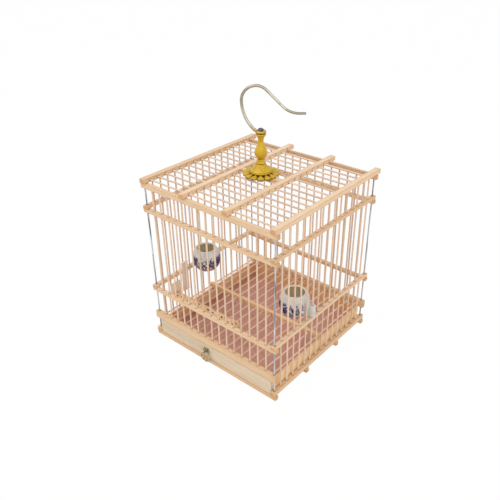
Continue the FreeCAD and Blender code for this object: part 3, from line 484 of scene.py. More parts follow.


# plated or bare metal: cloudy, with dark drawing lines along a wire, which are also painted shade on the
# wire's edges
def makeMetal(name, look):
    material, tree, shader = newMaterial(name)
    point = objectCoords(tree)
    fine = noiseLevel(tree, point, look["grain"], 4.0, 0.6)
    cloud = noiseLevel(tree, point, look["cloud"], 2.0, 0.5)
    level = plus(tree, times(tree, cloud, 0.75), times(tree, fine, 0.25))
    colour = blended(tree, stepped(tree, level, 0.36, 0.64), look["dull"], look["base"])
    colour = blended(tree, grimeMask(tree, point, look), colour, look["stainAndShade"])
    # drawing lines that also paint shade along the thin wires, in the stain colour, which serves both stains
    # and painted shade
    stretched = vectorCalc(tree, "MULTIPLY", point, look["stretch"])
    drawn = stepped(tree, noiseLevel(tree, stretched, look["lines"], 2.0, 0.5), 0.54, 0.40)
    # painted shade: two opposite sides of the hook's wire are darkened all along it
    if "shadedFlanks" in look:
        turn = times(tree, attribute(tree, "around"), fullTurn)
        flankShade = stepped(tree, unsigned(tree, calc(tree, "SINE", turn)), *look["shadedFlanks"])
        drawn = larger(tree, times(tree, drawn, 0.5), flankShade)
    colour = blended(tree, times(tree, drawn, look["dark"]), colour, look["stainAndShade"])
    if "worn" in look:
        low = stepped(tree, parted(tree, point)[2], look["wornTop"] + look["wornFade"], look["wornTop"])
        colour = blended(tree, low, colour, look["worn"])
    shader.inputs["Metallic"].default_value = look["metal"]
    rough = spread(tree, fine, look["rough"] - roughSwing, look["rough"] + roughSwing)
    setSurface(tree, shader, colour, rough, bump(tree, fine, *metalRelief))
    return material


goldLook = {
    "bright": srgb(216, 180, 40), "body": srgb(198, 160, 18), "hollow": srgb(124, 94, 8),
    "metal": 0.12, "wearAndShading": 0.5, "rough": (0.34, 0.52), "relief": (0.3, 0.2 * mm),
    "grain": 900.0, "cloud": 130.0,
}


# gilt casting: bright on raised edges from wear and painted highlight, brown painted shade in the hollows and
# under the petals
def makeGoldCasting(look):
    material, tree, shader = newMaterial("goldCasting")
    point = objectCoords(tree)
    fine = noiseLevel(tree, point, look["grain"], 4.0, 0.6)
    cloud = noiseLevel(tree, point, look["cloud"], 3.0, 0.6)
    colour = blended(tree, stepped(tree, cloud, 0.3, 0.7), look["body"], look["bright"])
    # the raised edges are brightened by wear and by painted highlight
    colour = blended(tree, wearAndShadingMask(tree, point, look["wearAndShading"]), colour, look["bright"])
    patchy = plus(tree, 0.55, times(tree, fine, 0.6))
    # painted shade: brown in the necks, along the petal seams, under the petals and on the disc
    colour = blended(tree, times(tree, attribute(tree, "hollow"), patchy, clamp=True), colour, look["hollow"])
    shader.inputs["Metallic"].default_value = look["metal"]
    rough = spread(tree, fine, *look["rough"])
    setSurface(tree, shader, colour, rough, bump(tree, plus(tree, fine, cloud), *look["relief"]))
    return material


cupLook = {
    "glaze": srgb(220, 219, 217), "shade": srgb(198, 197, 198),
    "cobalt": srgb(48, 38, 112), "wash": srgb(86, 76, 150), "ink": srgb(20, 16, 44),
    "inside": srgb(240, 230, 210), "clay": srgb(214, 200, 174),
    "brush": 520.0, "pool": 330.0, "cloud": 70.0, "grit": 400.0, "ripple": 130.0,   # noise scales
    "rough": (0.14, 0.7),                   # of the glaze and of the bare inside
    "relief": (0.12, 0.6 * mm),
    "sizes": {"Girth": 125.7, "Tall": 32.0},    # of the bowl, in the mm that the flowers are sized in
}
flowerRows = (
    {"Count": 8.0, "Phase": 0.0, "Centre": 0.42, "Size": 6.6, "Petals": 5.0},
    {"Count": 8.0, "Phase": 0.5, "Centre": 0.22, "Size": 5.4, "Petals": 3.0},
    {"Count": 8.0, "Phase": 0.5, "Centre": 0.60, "Size": 3.4, "Petals": 4.0},
    {"Count": 16.0, "Phase": 0.25, "Centre": 0.10, "Size": 3.0, "Petals": 4.0},
    {"Count": 16.0, "Phase": 0.5, "Centre": 0.72, "Size": 1.2, "Petals": 3.0},
)
brushHand = {"scale": 300.0, "wobble": 0.05, "sideways": 0.25}
vine = {"waves": 6, "height": 0.36, "sway": 0.13, "line": (0.012, 0.026)}
blueMass = {
    "scale": 150.0, "count": 3, "turn": math.radians(30), "low": (0.04, 0.09), "high": (0.78, 0.66),
    "byEar": (0.42, 0.37),
}


# flowers, a vine and broad blue masses round the bowl, with white left by the ear
def paintMask(tree, point):
    around, up, depth = parted(tree, uvCoords(tree, "wrap"))
    shake = minus(tree, noiseLevel(tree, point, brushHand["scale"], 3.0), 0.5)
    wobble = times(tree, shake, brushHand["wobble"])
    turn = plus(tree, around, times(tree, wobble, brushHand["sideways"]))
    height = plus(tree, up, wobble)
    painted = 0.0
    for row in flowerRows:
        flower = useGroup(tree, flowerGroup, {"Turn": turn, "Height": height, **cupLook["sizes"], **row})
        painted = larger(tree, painted, flower["Mask"])
    wave = calc(tree, "SINE", times(tree, turn, vine["waves"] * fullTurn))
    stem = plus(tree, vine["height"], times(tree, wave, vine["sway"]))
    beside = stepped(tree, unsigned(tree, minus(tree, height, stem)), *vine["line"])
    painted = larger(tree, painted, minus(tree, 1.0, beside))
    circle = times(tree, plus(tree, turn, attribute(tree, "start")), blueMass["count"] * fullTurn)
    dense = stepped(tree, calc(tree, "COSINE", minus(tree, circle, blueMass["turn"])), 0.05, 0.45)
    cloud = noiseLevel(tree, point, blueMass["scale"], 2.0)
    mass = stepped(tree, plus(tree, cloud, times(tree, dense, 0.2)), 0.56, 0.62)
    band = times(tree, stepped(tree, height, *blueMass["low"]), stepped(tree, height, *blueMass["high"]))
    painted = larger(tree, painted, times(tree, mass, band))
    fromFront = unsigned(tree, minus(tree, turn, 0.5))
    return times(tree, painted, stepped(tree, fromFront, *blueMass["byEar"]))


# white glaze with a common blue flower border, cream and unglazed inside
def makePorcelain(look):
    material, tree, shader = newMaterial("porcelain")
    point = objectCoords(tree)
    inside = attribute(tree, "inside")
    outside = minus(tree, 1.0, stepped(tree, inside, 0.15, 0.55))
    painted = times(tree, paintMask(tree, point), times(tree, attribute(tree, "bowl"), outside))
    brush = stepped(tree, noiseLevel(tree, point, look["brush"], 4.0, 0.65), 0.32, 0.7)
    cobalt = blended(tree, brush, look["cobalt"], look["wash"])
    pooled = stepped(tree, noiseLevel(tree, point, look["pool"], 3.0), 0.46, 0.58)
    cobalt = blended(tree, pooled, cobalt, look["ink"])
    uneven = stepped(tree, noiseLevel(tree, point, look["cloud"], 3.0), 0.35, 0.7)
    glaze = blended(tree, uneven, look["glaze"], look["shade"])
    colour = blended(tree, painted, glaze, cobalt)
    dry = stepped(tree, inside, 0.35, 0.75)
    clay = blended(tree, noiseLevel(tree, point, look["grit"], 4.0), look["inside"], look["clay"])
    colour = blended(tree, dry, colour, clay)
    ripple = bump(tree, noiseLevel(tree, point, look["ripple"], 2.0), *look["relief"])
    setSurface(tree, shader, colour, spread(tree, dry, *look["rough"]), ripple)
    return material


perchLook = {
    "pale": srgb(248, 214, 170), "deep": srgb(226, 182, 134), "fleck": srgb(86, 54, 30),
    "streakWidth": 1.6, "flecks": 0.55, "cloud": 60.0, "pit": (0.25, 0.8), "rough": (-1.6, 1.6),
    "relief": (0.6, 0.4 * mm),
}


# peeled branch: long grain with eaten-out pits, darkest where the mesh is pushed in
def makePerchWood(look):
    material, tree, shader = newMaterial("perchWood")
    point = objectCoords(tree)
    wood = fibreWood(tree, point, noiseLevel(tree, point, look["cloud"]), look)
    pit = stepped(tree, attribute(tree, "pit"), *look["pit"])
    colour = blended(tree, pit, wood["Color"], look["fleck"])
    rough = stepped(tree, wood["Height"], *look["rough"])
    setSurface(tree, shader, colour, rough, bump(tree, wood["Height"], *look["relief"]))
    return material


bambooRail = makeBambooRail("bambooRail", bambooLook)
shadeTintedRail = makeBambooRail("shadeTintedRail", shadeTintLook)
bambooRod = makeBambooRod("bambooRod", rodLook)
floorRod = makeBambooRod("floorRod", floorRodLook)
boards = {name: makeBoard(name, {**plainBoard, **look}) for name, look in boardLooks.items()}
trayBoard = makeTrayBoard(trayLook)
wireSteel = makeMetal("cornerSteel", wireLook)
boltSteel = makeMetal("fastenerSteel", boltLook)
washerSteel = makeMetal("washerSteel", washerLook)
hookPlate = makeMetal("hookPlating", hookLook)
ringBrass = makeMetal("ringBrass", ringLook)
flowerBrass = makeMetal("flowerBrass", flowerLook)
goldCasting = makeGoldCasting(goldLook)
porcelain = makePorcelain(cupLook)
perchWood = makePerchWood(perchLook)
print("materials made")


def addObject(name, content):
    item = bpy.data.objects.new(name, content)
    scene.collection.objects.link(item)
    return item


def addPiece(name, mesh, material, body, slotName, *nodes):
    piece = addObject(name, mesh)
    if not mesh.materials:
        mesh.materials.append(material)
    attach(piece, body)
    if nodes:
        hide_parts(*nodes)


# gathers the points and faces of a mesh, with a UV place and named values for each point
class Shape:
    def __init__(self):
        self.points, self.faces, self.values, self.lay = [], [], {}, []

    def add(self, point, uv=(0.0, 0.0), **values):
        self.points.append(Vector(point))
        self.lay.append(uv)
        for key, level in values.items():
            self.values.setdefault(key, {})[len(self.points) - 1] = level
        return len(self.points) - 1

    def ring(self, first, second, closed=True):
        count = len(first)
        for index in range(count if closed else count - 1):
            after = (index + 1) % count
            self.faces.append((first[index], first[after], second[after], second[index]))

    def strip(self, rows):
        for first, second in zip(rows, rows[1:]):
            self.ring(first, second, closed=False)

    def skin(self, rings, capped=True):
        for first, second in zip(rings, rings[1:]):
            self.ring(first, second)
        if capped:
            self.faces.append(tuple(reversed(rings[0])))
            self.faces.append(tuple(rings[-1]))

    def mesh(self, name, uvName="grain"):
        mesh = bpy.data.meshes.new(name)
        mesh.from_pydata(self.points, [], self.faces)
        layer = mesh.uv_layers.new(name=uvName)
        for face in mesh.polygons:
            spots = [self.lay[vertex] for vertex in face.vertices]
            # a face over the seam of a wrap runs on past 1
            split = uvName == "wrap" and max(u for u, v in spots) - min(u for u, v in spots) > 0.5
            for loop, (u, v) in zip(face.loop_indices, spots):
                layer.data[loop].uv = (u + 1 if split and u < 0.5 else u, v)
        for key, levels in self.values.items():
            store = mesh.attributes.new(key, "FLOAT", "POINT")
            for index, level in levels.items():
                store.data[index].value = level
        mesh.polygons.foreach_set("use_smooth", [True] * len(mesh.polygons))
        mesh.update()
        return mesh


def anglesOf(count):
    return [fullTurn * step / count for step in range(count)]


stripCut = {
    "corner": 0.55 * mm, "cornerShare": 0.2, "ringStep": 9 * mm, "uneven": 0.10 * mm,
    "ripple": 30, "rippleRound": 0.35, "apart": 7.3,    # noise along a strip, round it and to the next one
    "grainApart": (0.37, 0.11),
}


# rounded square section, as places across and up with 1 on an edge and 0 in the middle of a face
def stripSection(halfWide, halfTall, corner):
    signs = ((1, 1), (-1, 1), (-1, -1), (1, -1))
    flatWide, flatTall = halfWide - corner, halfTall - corner
    section = []
    for turn, (signWide, signTall) in enumerate(signs):
        for part in range(4):
            angle = math.radians(90 * turn + 30 * part)
            across = signWide * flatWide + corner * math.cos(angle)
            section.append((across, signTall * flatTall + corner * math.sin(angle), 1.0))
        nextWide, nextTall = signs[(turn + 1) % 4]
        for share, edge in ((0.2, 0.15), (0.5, 0.0), (0.8, 0.15)):
            if turn % 2 == 0:
                across, up = (signWide + (nextWide - signWide) * share) * flatWide, signTall * halfTall
            else:
                across, up = signWide * halfWide, (signTall + (nextTall - signTall) * share) * flatTall
            section.append((across, up, edge))
    return section


# a hand-planed strip: the section swept along its longest side, a little uneven
def stripMesh(node, seed):
    low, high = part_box(node)
    shape = Shape()
    size, middle = high - low, (low + high) / 2
    along = max(range(3), key=lambda axis: size[axis])
    wide, tall = [axis for axis in range(3) if axis != along]
    corner = min(stripCut["corner"], *(size[axis] * stripCut["cornerShare"] for axis in (wide, tall)))
    section = stripSection(size[wide] / 2, size[tall] / 2, corner)
    girth = 2 * (size[wide] + size[tall])
    grainAlong, grainAcross = stripCut["grainApart"]
    steps = max(2, int(size[along] / stripCut["ringStep"]))
    # each station: run from the end, inset of the section, and how far it belongs to the sawn end
    stations = [(0.0, corner, 1.0), (corner * 0.3, corner * 0.3, 0.8), (corner, 0.0, 0.3)]
    stations += [(size[along] * step / steps, 0.0, 0.0) for step in range(1, steps)]
    stations += [(size[along] - run, inset, cut) for run, inset, cut in reversed(stations[:3])]
    tone = noise.random_unit_vector()[0] * 0.5 + 0.5
    rings = []
    for run, inset, cut in stations:
        ring = []
        for index, (across, up, edge) in enumerate(section):
            place = (run * stripCut["ripple"], seed * stripCut["apart"], index * stripCut["rippleRound"])
            ripple = noise.noise(Vector(place))
            pull = inset + stripCut["uneven"] * (0.5 + 0.5 * ripple)
            point = Vector()
            point[along] = low[along] + run
            point[wide] = middle[wide] + across * (1 - 2 * pull / size[wide])
            point[tall] = middle[tall] + up * (1 - 2 * pull / size[tall])
            uv = (run + seed * grainAlong, girth * index / len(section) + seed * grainAcross)
            ring.append(shape.add(point, uv, edge=max(edge, cut * 0.8), cut=cut, tone=tone))
        rings.append(ring)
    rightHanded = (along, wide, tall) in ((0, 1, 2), (1, 2, 0), (2, 0, 1))
    shape.skin(rings if rightHanded else rings[::-1])
    return shape.mesh(node)


railNodes = [
    part["node"] for part in frame["record"]["subparts"]
    if part["material_slot"] == "bamboo_rail"
]
# the floor centre bar takes the warmer rail colours as painted shade; the wall slat takes the pale board as
# painted light
railFinish = {"wall_slat": boards["paleBoard"], "floor_centre_bar": shadeTintedRail}
plateSeed = 40
noise.seed_set(11)
for number, node in enumerate(railNodes):
    body = "lift_door" if node == "door_foot_bar" else "cage_frame"
    finish = railFinish.get(node, bambooRail)
    addPiece("strip_" + node, stripMesh(node, number), finish, body, "bamboo_rail", node)
plate = stripMesh("perch_plate", plateSeed)
addPiece("card_perch_plate", plate, boards["paleBoard"], "cage_frame", "drawer_face_wood", "perch_plate")
print("strips made:", len(railNodes))


# Geometry Nodes
def newTree(name, inputs):
    return newGroup("Geometry", name, {"Geometry": "Geometry", **inputs}, {"Geometry": "Geometry"})


# runs a tree on a base mesh and gives back the plain mesh
def grown(name, tree, values, base=None):
    holder = addObject(name + "Base", base or bpy.data.meshes.new(name + "Base"))
    modifier = holder.modifiers.new("grow", "NODES")
    modifier.node_group = tree
    for item in tree.interface.items_tree:
        if item.item_type == "SOCKET" and item.in_out == "INPUT" and item.name in values:
            modifier[item.identifier] = values[item.name]
    bpy.context.view_layer.update()
    solid = holder.evaluated_get(bpy.context.evaluated_depsgraph_get())
    mesh = bpy.data.meshes.new_from_object(solid)
    holder.modifiers.remove(modifier)
    bpy.data.objects.remove(holder)
    mesh.name = name
    return mesh


def stored(tree, geometry, name, level):
    wiring = {"Geometry": geometry, "Name": name, "Value": level}
    settings = {"data_type": "FLOAT", "domain": "POINT"}
    return addNode(tree, "GeometryNodeStoreNamedAttribute", wiring, **settings).outputs[0]


def readBack(tree, name):
    return addNode(tree, "GeometryNodeInputNamedAttribute", {"Name": name}, data_type="FLOAT").outputs[0]


def curveShare(tree):
    return addNode(tree, "GeometryNodeSplineParameter").outputs


# a round bar along a curve, with the place round it stored for the materials
def tube(tree, line, radius, sides, thickness):
    wiring = {"Resolution": sides, "Radius": radius}
    rim = addNode(tree, "GeometryNodeCurvePrimitiveCircle", wiring).outputs[0]
    rim = stored(tree, rim, "around", curveShare(tree)["Factor"])
    wiring = {"Curve": line, "Profile Curve": rim, "Scale": thickness, "Fill Caps": True}
    return addNode(tree, "GeometryNodeCurveToMesh", wiring).outputs[0]


def finishTree(tree, geometry, material, out):
    whole = addNode(tree, "GeometryNodeRealizeInstances", {"Geometry": geometry}).outputs[0]
    smooth = addNode(tree, "GeometryNodeSetShadeSmooth", {0: whole}).outputs[0]
    painted = addNode(tree, "GeometryNodeSetMaterial", {"Geometry": smooth, "Material": material}).outputs[0]
    feed(tree, out["Geometry"], painted)


rodCut = {"rings": 15, "sides": 12, "bow": 1.6 * mm, "bowWaves": 1.6, "thinner": 0.08, "apart": 90.0}


# a row of split-bamboo rods: each one slightly bowed, thicker or thinner, with a tone of its own
def makeRodTree():
    tree, given, out = newTree("rodRow", {
        "Count": "Int", "First": "Vector", "Step": "Vector", "Run": "Vector", "Radius": "Float",
        "Bow": "Float", "Seed": "Int", "Material": "Material",
    })
    wiring = {"Count": given["Count"], "Start Location": given["First"], "Offset": given["Step"]}
    row = addNode(tree, "GeometryNodeMeshLine", wiring, mode="OFFSET").outputs[0]
    random = addNode(tree, "FunctionNodeRandomValue", {"Seed": given["Seed"]}, data_type="FLOAT")
    row = stored(tree, row, "tone", random.outputs[1])
    line = addNode(tree, "GeometryNodeCurvePrimitiveLine", {"End": given["Run"]}).outputs[0]
    line = addNode(tree, "GeometryNodeResampleCurve", {"Curve": line, "Count": rodCut["rings"]}).outputs[0]
    rods = addNode(tree, "GeometryNodeInstanceOnPoints", {"Points": row, "Instance": line}).outputs[0]
    rods = addNode(tree, "GeometryNodeRealizeInstances", {"Geometry": rods}).outputs[0]
    share = curveShare(tree)
    rods = stored(tree, rods, "along", share["Length"])
    ownPlace = times(tree, readBack(tree, "tone"), rodCut["apart"])
    spot = joined(tree, ownPlace, times(tree, share["Factor"], rodCut["bowWaves"]))
    wiring = {"Vector": spot, "Scale": 1.0, "Detail": 1.0}
    drift = addNode(tree, "ShaderNodeTexNoise", wiring).outputs["Color"]
    drift = vectorCalc(tree, "SUBTRACT", drift, (0.5, 0.5, 0.5))
    window = calc(tree, "SINE", times(tree, share["Factor"], math.pi))  # both ends stay in their holes
    wiring = {0: drift, "Scale": times(tree, window, given["Bow"])}
    shift = addNode(tree, "ShaderNodeVectorMath", wiring, operation="SCALE").outputs[0]
    rods = addNode(tree, "GeometryNodeSetPosition", {"Geometry": rods, "Offset": shift}).outputs[0]
    swell = addNode(tree, "ShaderNodeTexNoise", {"Vector": spot, "Scale": 3.0, "Detail": 1.0}).outputs["Fac"]
    thickness = minus(tree, 1.0, times(tree, swell, rodCut["thinner"]))
    bars = tube(tree, rods, given["Radius"], rodCut["sides"], thickness)
    finishTree(tree, bars, given["Material"], out)
    return tree


rodTree = makeRodTree()
# axis 0, 1 or 2 of the row and of the rods in it
rodRows = {
    "front_wall_rods": {"count": wallCount, "row": 0, "along": 2},
    "back_wall_rods": {"count": wallCount, "row": 0, "along": 2},
    "left_wall_front_rods": {"count": 9, "row": 1, "along": 2},
    "left_wall_back_rods": {"count": 2, "row": 1, "along": 2},
    "door_rods": {"count": 4, "row": 1, "along": 2, "bow": 0.0},
    "right_wall_rods": {"count": wallCount, "row": 1, "along": 2},
    "top_rods": {"count": wallCount + 1, "row": 1, "along": 0},
    "floor_rods": {"count": wallCount + 1, "row": 0, "along": 1},
}
for number, (node, row) in enumerate(rodRows.items()):
    low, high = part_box(node)
    first = low + Vector((rodRadius, rodRadius, rodRadius))
    first[row["along"]] = low[row["along"]]
    step, run = Vector(), Vector()
    step[row["row"]] = (high[row["row"]] - low[row["row"]] - 2 * rodRadius) / (row["count"] - 1)
    run[row["along"]] = high[row["along"]] - low[row["along"]]
    finish = floorRod if node == "floor_rods" else bambooRod
    mesh = grown(node, rodTree, {
        "Count": row["count"], "First": first, "Step": step, "Run": run, "Radius": rodRadius,
        "Bow": row.get("bow", rodCut["bow"]), "Seed": number, "Material": finish,
    })
    body = "lift_door" if node == "door_rods" else "cage_frame"
    addPiece("split_" + node, mesh, finish, body, "bamboo_rod", node)
    print(node, len(mesh.vertices))


# turned pieces: a profile of (radius, height) with its values, spun about Z and closed on itself or capped
def latheShape(profile, values, count, tall=1.0, closed=True):
    shape = Shape()
    rings = []
    for (radius, height), levels in zip(profile, values):
        ring = []
        for turn, angle in enumerate(anglesOf(count)):
            point = (radius * math.cos(angle), radius * math.sin(angle), height)
            ring.append(shape.add(point, (turn / count, height / tall), **levels))
        rings.append(ring)
    shape.skin(rings + rings[:1] if closed else rings, capped=not closed)
    return shape


# rounds a chain of (radius, height) points into a smooth line, with equal steps between two points
def smoothLine(points, steps):
    line = []
    for index in range(len(points) - 1):
        before, start = points[max(index - 1, 0)], points[index]
        end, after = points[index + 1], points[min(index + 2, len(points) - 1)]
        for step in range(steps):
            t = step / steps
            spot = []
            for a, b, c, d in zip(before, start, end, after):
                bend = (2 * a - 5 * b + 4 * c - d) * t ** 2 + (3 * b - a - 3 * c + d) * t ** 3
                spot.append(0.5 * (2 * b + (c - a) * t + bend))
            line.append(tuple(spot))
    line.append(points[-1])
    return line


balusterCut = {
    "foot": 244.0, "bore": 1.55, "tall": 48.0, "sides": 72, "smooth": 4,
    "outline": [
        (14.1, 0.0), (14.4, 0.35), (14.35, 0.95), (13.9, 1.45), (12.7, 2.3), (11.3, 3.4), (9.9, 4.7),
        (8.7, 6.1), (7.6, 7.6), (6.7, 9.0), (6.25, 9.6), (5.7, 10.0), (5.45, 10.4), (5.7, 10.9),
        (6.15, 11.25), (5.95, 11.8), (5.35, 12.8), (4.75, 14.2), (4.3, 15.5), (4.1, 16.6), (4.6, 17.3),
        (5.7, 18.4), (6.7, 19.7), (7.4, 21.2), (7.8, 22.7), (7.9, 23.9), (7.75, 25.6), (7.3, 27.6),
        (6.5, 29.6), (5.6, 31.3), (4.7, 33.0), (4.0, 35.0), (3.5, 37.0), (3.3, 38.6), (3.45, 40.4),
        (3.9, 42.4), (4.7, 44.3), (5.6, 45.4), (6.2, 46.0), (6.6, 46.6), (6.65, 47.2), (6.4, 47.75),
        (6.0, 48.0),
    ],
    "hollows": ((10.4, 0.9), (16.6, 0.9), (1.6, 0.5), (45.3, 0.8)),     # height and reach of the brown rings of painted shade
    "edges": (11.3, 23.9, 46.9, 0.6), "edgeReach": 0.8,
}


def balusterValues(rise):
    hollow = max(1 - abs(rise - level) / reach for level, reach in balusterCut["hollows"])
    edge = max(1 - abs(rise - level) / balusterCut["edgeReach"] for level in balusterCut["edges"])
    return {"hollow": max(0.0, hollow), "edge": max(0.0, edge)}


def balusterMesh():
    cut = balusterCut
    outline = [(cut["bore"], 0.0), *smoothLine(cut["outline"], cut["smooth"]), (cut["bore"], cut["tall"])]
    values = [balusterValues(height) for radius, height in outline]
    profile = [(radius * mm, (cut["foot"] + height) * mm) for radius, height in outline]
    return latheShape(profile, values, cut["sides"]).mesh("turned_baluster")


addPiece("turned_baluster", balusterMesh(), goldCasting, "cage_frame", "gold_casting", "hook_baluster")
print("baluster made")


flangeCut = {
    "count": 14, "root": 13.2, "tip": 22.5, "halfWidth": 4.3, "rootWidth": 0.40, "roundFrom": 0.72,
    "low": 240.0, "rim": 1.2, "lift": 3.9, "ridge": 0.8, "droop": 0.35, "curl": 0.12, "curlFrom": 0.8,
    "seamBrown": 0.8, "seam": 2.6, "rootBrown": 0.22, "edgeFrom": 0.86, "lengthSteps": 16, "widthSteps": 10,
}


# half width of a petal at a share of its length: narrow root, full middle, round tip
def petalHalf(share):
    bloom = math.sin(math.pi / 2 * min(1.0, share / flangeCut["roundFrom"])) ** 2
    past = max(0.0, (share - flangeCut["roundFrom"]) / (1 - flangeCut["roundFrom"]))
    tip = math.sqrt(max(0.04, 1 - past ** 2))
    root = flangeCut["rootWidth"]
    return flangeCut["halfWidth"] * (root + (1 - root) * bloom) * tip


# one cast petal: a ridged leaf with a rolled tip, thick enough to stand on the bars
def petalMesh():
    cut = flangeCut
    shape = Shape()
    top, under = [], []
    for step in range(cut["lengthSteps"] + 1):
        share = step / cut["lengthSteps"]
        reach = cut["root"] + (cut["tip"] - cut["root"]) * share
        curl = max(0.0, share - cut["curlFrom"]) / (1 - cut["curlFrom"])
        droop = 1.0 - cut["droop"] * share + cut["curl"] * curl
        topRow, underRow = [], []
        for side in range(cut["widthSteps"] + 1):
            across = 2 * side / cut["widthSteps"] - 1
            crown = 1 - across ** 2
            rise = cut["rim"] + (cut["lift"] - cut["rim"]) * crown ** cut["ridge"] * droop
            # painted shade along the petal's seams and at its root
            hollow = max(0.0, (1 - cut["seam"] * crown) * cut["seamBrown"], 1 - share / cut["rootBrown"])
            edge = 1.0 if share > cut["edgeFrom"] else 0.5 * crown
            x, y = reach * mm, petalHalf(share) * across * mm
            uv = (share, across)
            topRow.append(shape.add((x, y, (cut["low"] + rise) * mm), uv, hollow=hollow, edge=edge))
            # painted shade under the petal
            underRow.append(shape.add((x, y, cut["low"] * mm), uv, hollow=0.8, edge=0.0))
        top.append(topRow)
        under.append(underRow)
    shape.strip(top[::-1])
    shape.strip(under)
    shape.strip((top[0], under[0]))
    shape.strip((under[-1], top[-1]))
    shape.strip(([row[0] for row in under], [row[0] for row in top]))
    shape.strip(([row[-1] for row in top], [row[-1] for row in under]))
    return shape.mesh("petal")


def makePetalTree():
    tree, given, out = newTree("petalRing", {"Count": "Int", "Material": "Material"})
    wiring = {"Count": given["Count"], "Offset": (0, 0, 0)}
    spots = addNode(tree, "GeometryNodeMeshLine", wiring, mode="OFFSET").outputs[0]
    number = addNode(tree, "GeometryNodeInputIndex").outputs[0]
    turn = calc(tree, "DIVIDE", times(tree, number, fullTurn), given["Count"])
    wiring = {"Points": spots, "Instance": given["Geometry"], "Rotation": joined(tree, z=turn)}
    petals = addNode(tree, "GeometryNodeInstanceOnPoints", wiring).outputs[0]
    finishTree(tree, petals, given["Material"], out)
    return tree


petalValues = {"Count": flangeCut["count"], "Material": goldCasting}
petals = grown("petal_ring", makePetalTree(), petalValues, petalMesh())
addPiece("petal_ring", petals, goldCasting, "cage_frame", "gold_casting", "hook_flange")


# the thin disc that joins the petals
discCut = {
    "sides": 56, "hollow": 0.85,
    "outline": [
        (1.55, 240.0), (17.6, 240.0), (18.1, 240.3), (18.1, 240.9), (17.6, 241.2), (14.0, 241.3),
        (1.55, 241.3),
    ],
}


def discMesh():
    profile = [(radius * mm, height * mm) for radius, height in discCut["outline"]]
    # the disc is painted shade all over
    values = [{"hollow": discCut["hollow"], "edge": 0.0}] * len(profile)
    return latheShape(profile, values, discCut["sides"]).mesh("flange_disc")


addPiece("flange_disc", discMesh(), goldCasting, "cage_frame", "gold_casting")
print("petals made")


boltCut = {
    "shank": 1.45, "low": 230.4, "head": 3.4, "headLow": 296.4, "headTop": 298.55, "headEdge": 0.4,
    "chamfer": 0.3, "headUnder": 0.15, "headSide": 0.2, "slot": 0.38, "slotReach": 2.3, "slotDepth": 0.8,
    "slotFrom": 0.5, "pole": 0.01, "sides": 48, "domeSteps": 13,
}


# pan head with a crossed recess over a long shank
def boltMesh():
    cut = boltCut
    shank, low, head, headLow = cut["shank"], cut["low"], cut["head"], cut["headLow"]
    levels = [(cut["pole"], low), (shank - cut["chamfer"], low), (shank, low + cut["chamfer"])]
    levels += [(shank, headLow), (head - cut["headUnder"], headLow), (head, headLow + cut["headSide"])]
    dome = cut["headTop"] - headLow - cut["headEdge"]
    for step in range(cut["domeSteps"] + 1):
        angle = step / cut["domeSteps"] * math.pi / 2
        radius = max(head * math.cos(angle) ** 0.8, cut["pole"])
        levels.append((radius, headLow + cut["headEdge"] + dome * math.sin(angle) ** 0.7))
    shape = Shape()
    rings = []
    for radius, height in levels:
        onHead = height > headLow + cut["slotFrom"] and radius < cut["slotReach"]
        ring = []
        for angle in anglesOf(cut["sides"]):
            x, y = radius * math.cos(angle), radius * math.sin(angle)
            sunk = cut["slotDepth"] if onHead and min(abs(x), abs(y)) < cut["slot"] else 0.0
            ring.append(shape.add((x * mm, y * mm, (height - sunk) * mm)))
        rings.append(ring)
    shape.skin(rings)
    return shape.mesh("screw_bolt")


addPiece("screw_bolt", boltMesh(), boltSteel, "cage_frame", "fastener_steel", "hook_bolt")


hookBend = {
    "turn": 39.8, "eyeHeight": 294.2, "eye": 4.8, "bend": 16.8, "bendHeight": 331.8, "throat": 22.3,
    "bendTurn": 135, "tipHeight": 316.0, "tipBend": 28.7, "tipRun": 7.5,
    "eyeWire": 1.88, "rootWire": 1.95, "tipWire": 1.5, "wireSides": 20,
    "stalkSteps": 24, "bendSteps": 32, "tipSteps": 16, "eyeSteps": 48,
}


# centre line of the hook, as places along and up: rising bend, round top, slope down and flattened tip
def hookPoints():
    cut = hookBend
    rise, reach = cut["bendHeight"] - cut["eyeHeight"], cut["throat"] - cut["eye"]
    stalk = (reach ** 2 + rise ** 2) / (2 * reach)
    points = []
    for step in range(cut["stalkSteps"]):
        angle = math.asin(rise / stalk) * (1 - step / cut["stalkSteps"])
        along = stalk * (1 - math.cos(angle)) - cut["throat"]
        points.append((along, cut["bendHeight"] - stalk * math.sin(angle)))
    middle = cut["bend"] - cut["throat"]
    for step in range(cut["bendSteps"] + 1):
        angle = math.radians(180 - cut["bendTurn"] * step / cut["bendSteps"])
        along = middle + cut["bend"] * math.cos(angle)
        points.append((along, cut["bendHeight"] + cut["bend"] * math.sin(angle)))
    slope = cut["bendTurn"] - 90
    corner = sum(points[-1]) - cut["tipHeight"]     # where the slope of 45 degrees meets the tip's level
    tipStart = corner + cut["tipBend"] * math.tan(math.radians(slope / 2))
    for step in range(cut["tipSteps"] + 1):
        angle = math.radians(slope * (1 - step / cut["tipSteps"]))
        along = tipStart - cut["tipBend"] * math.sin(angle)
        points.append((along, cut["tipHeight"] + cut["tipBend"] * (1 - math.cos(angle))))
    points.append((tipStart + cut["tipRun"], cut["tipHeight"]))
    return points


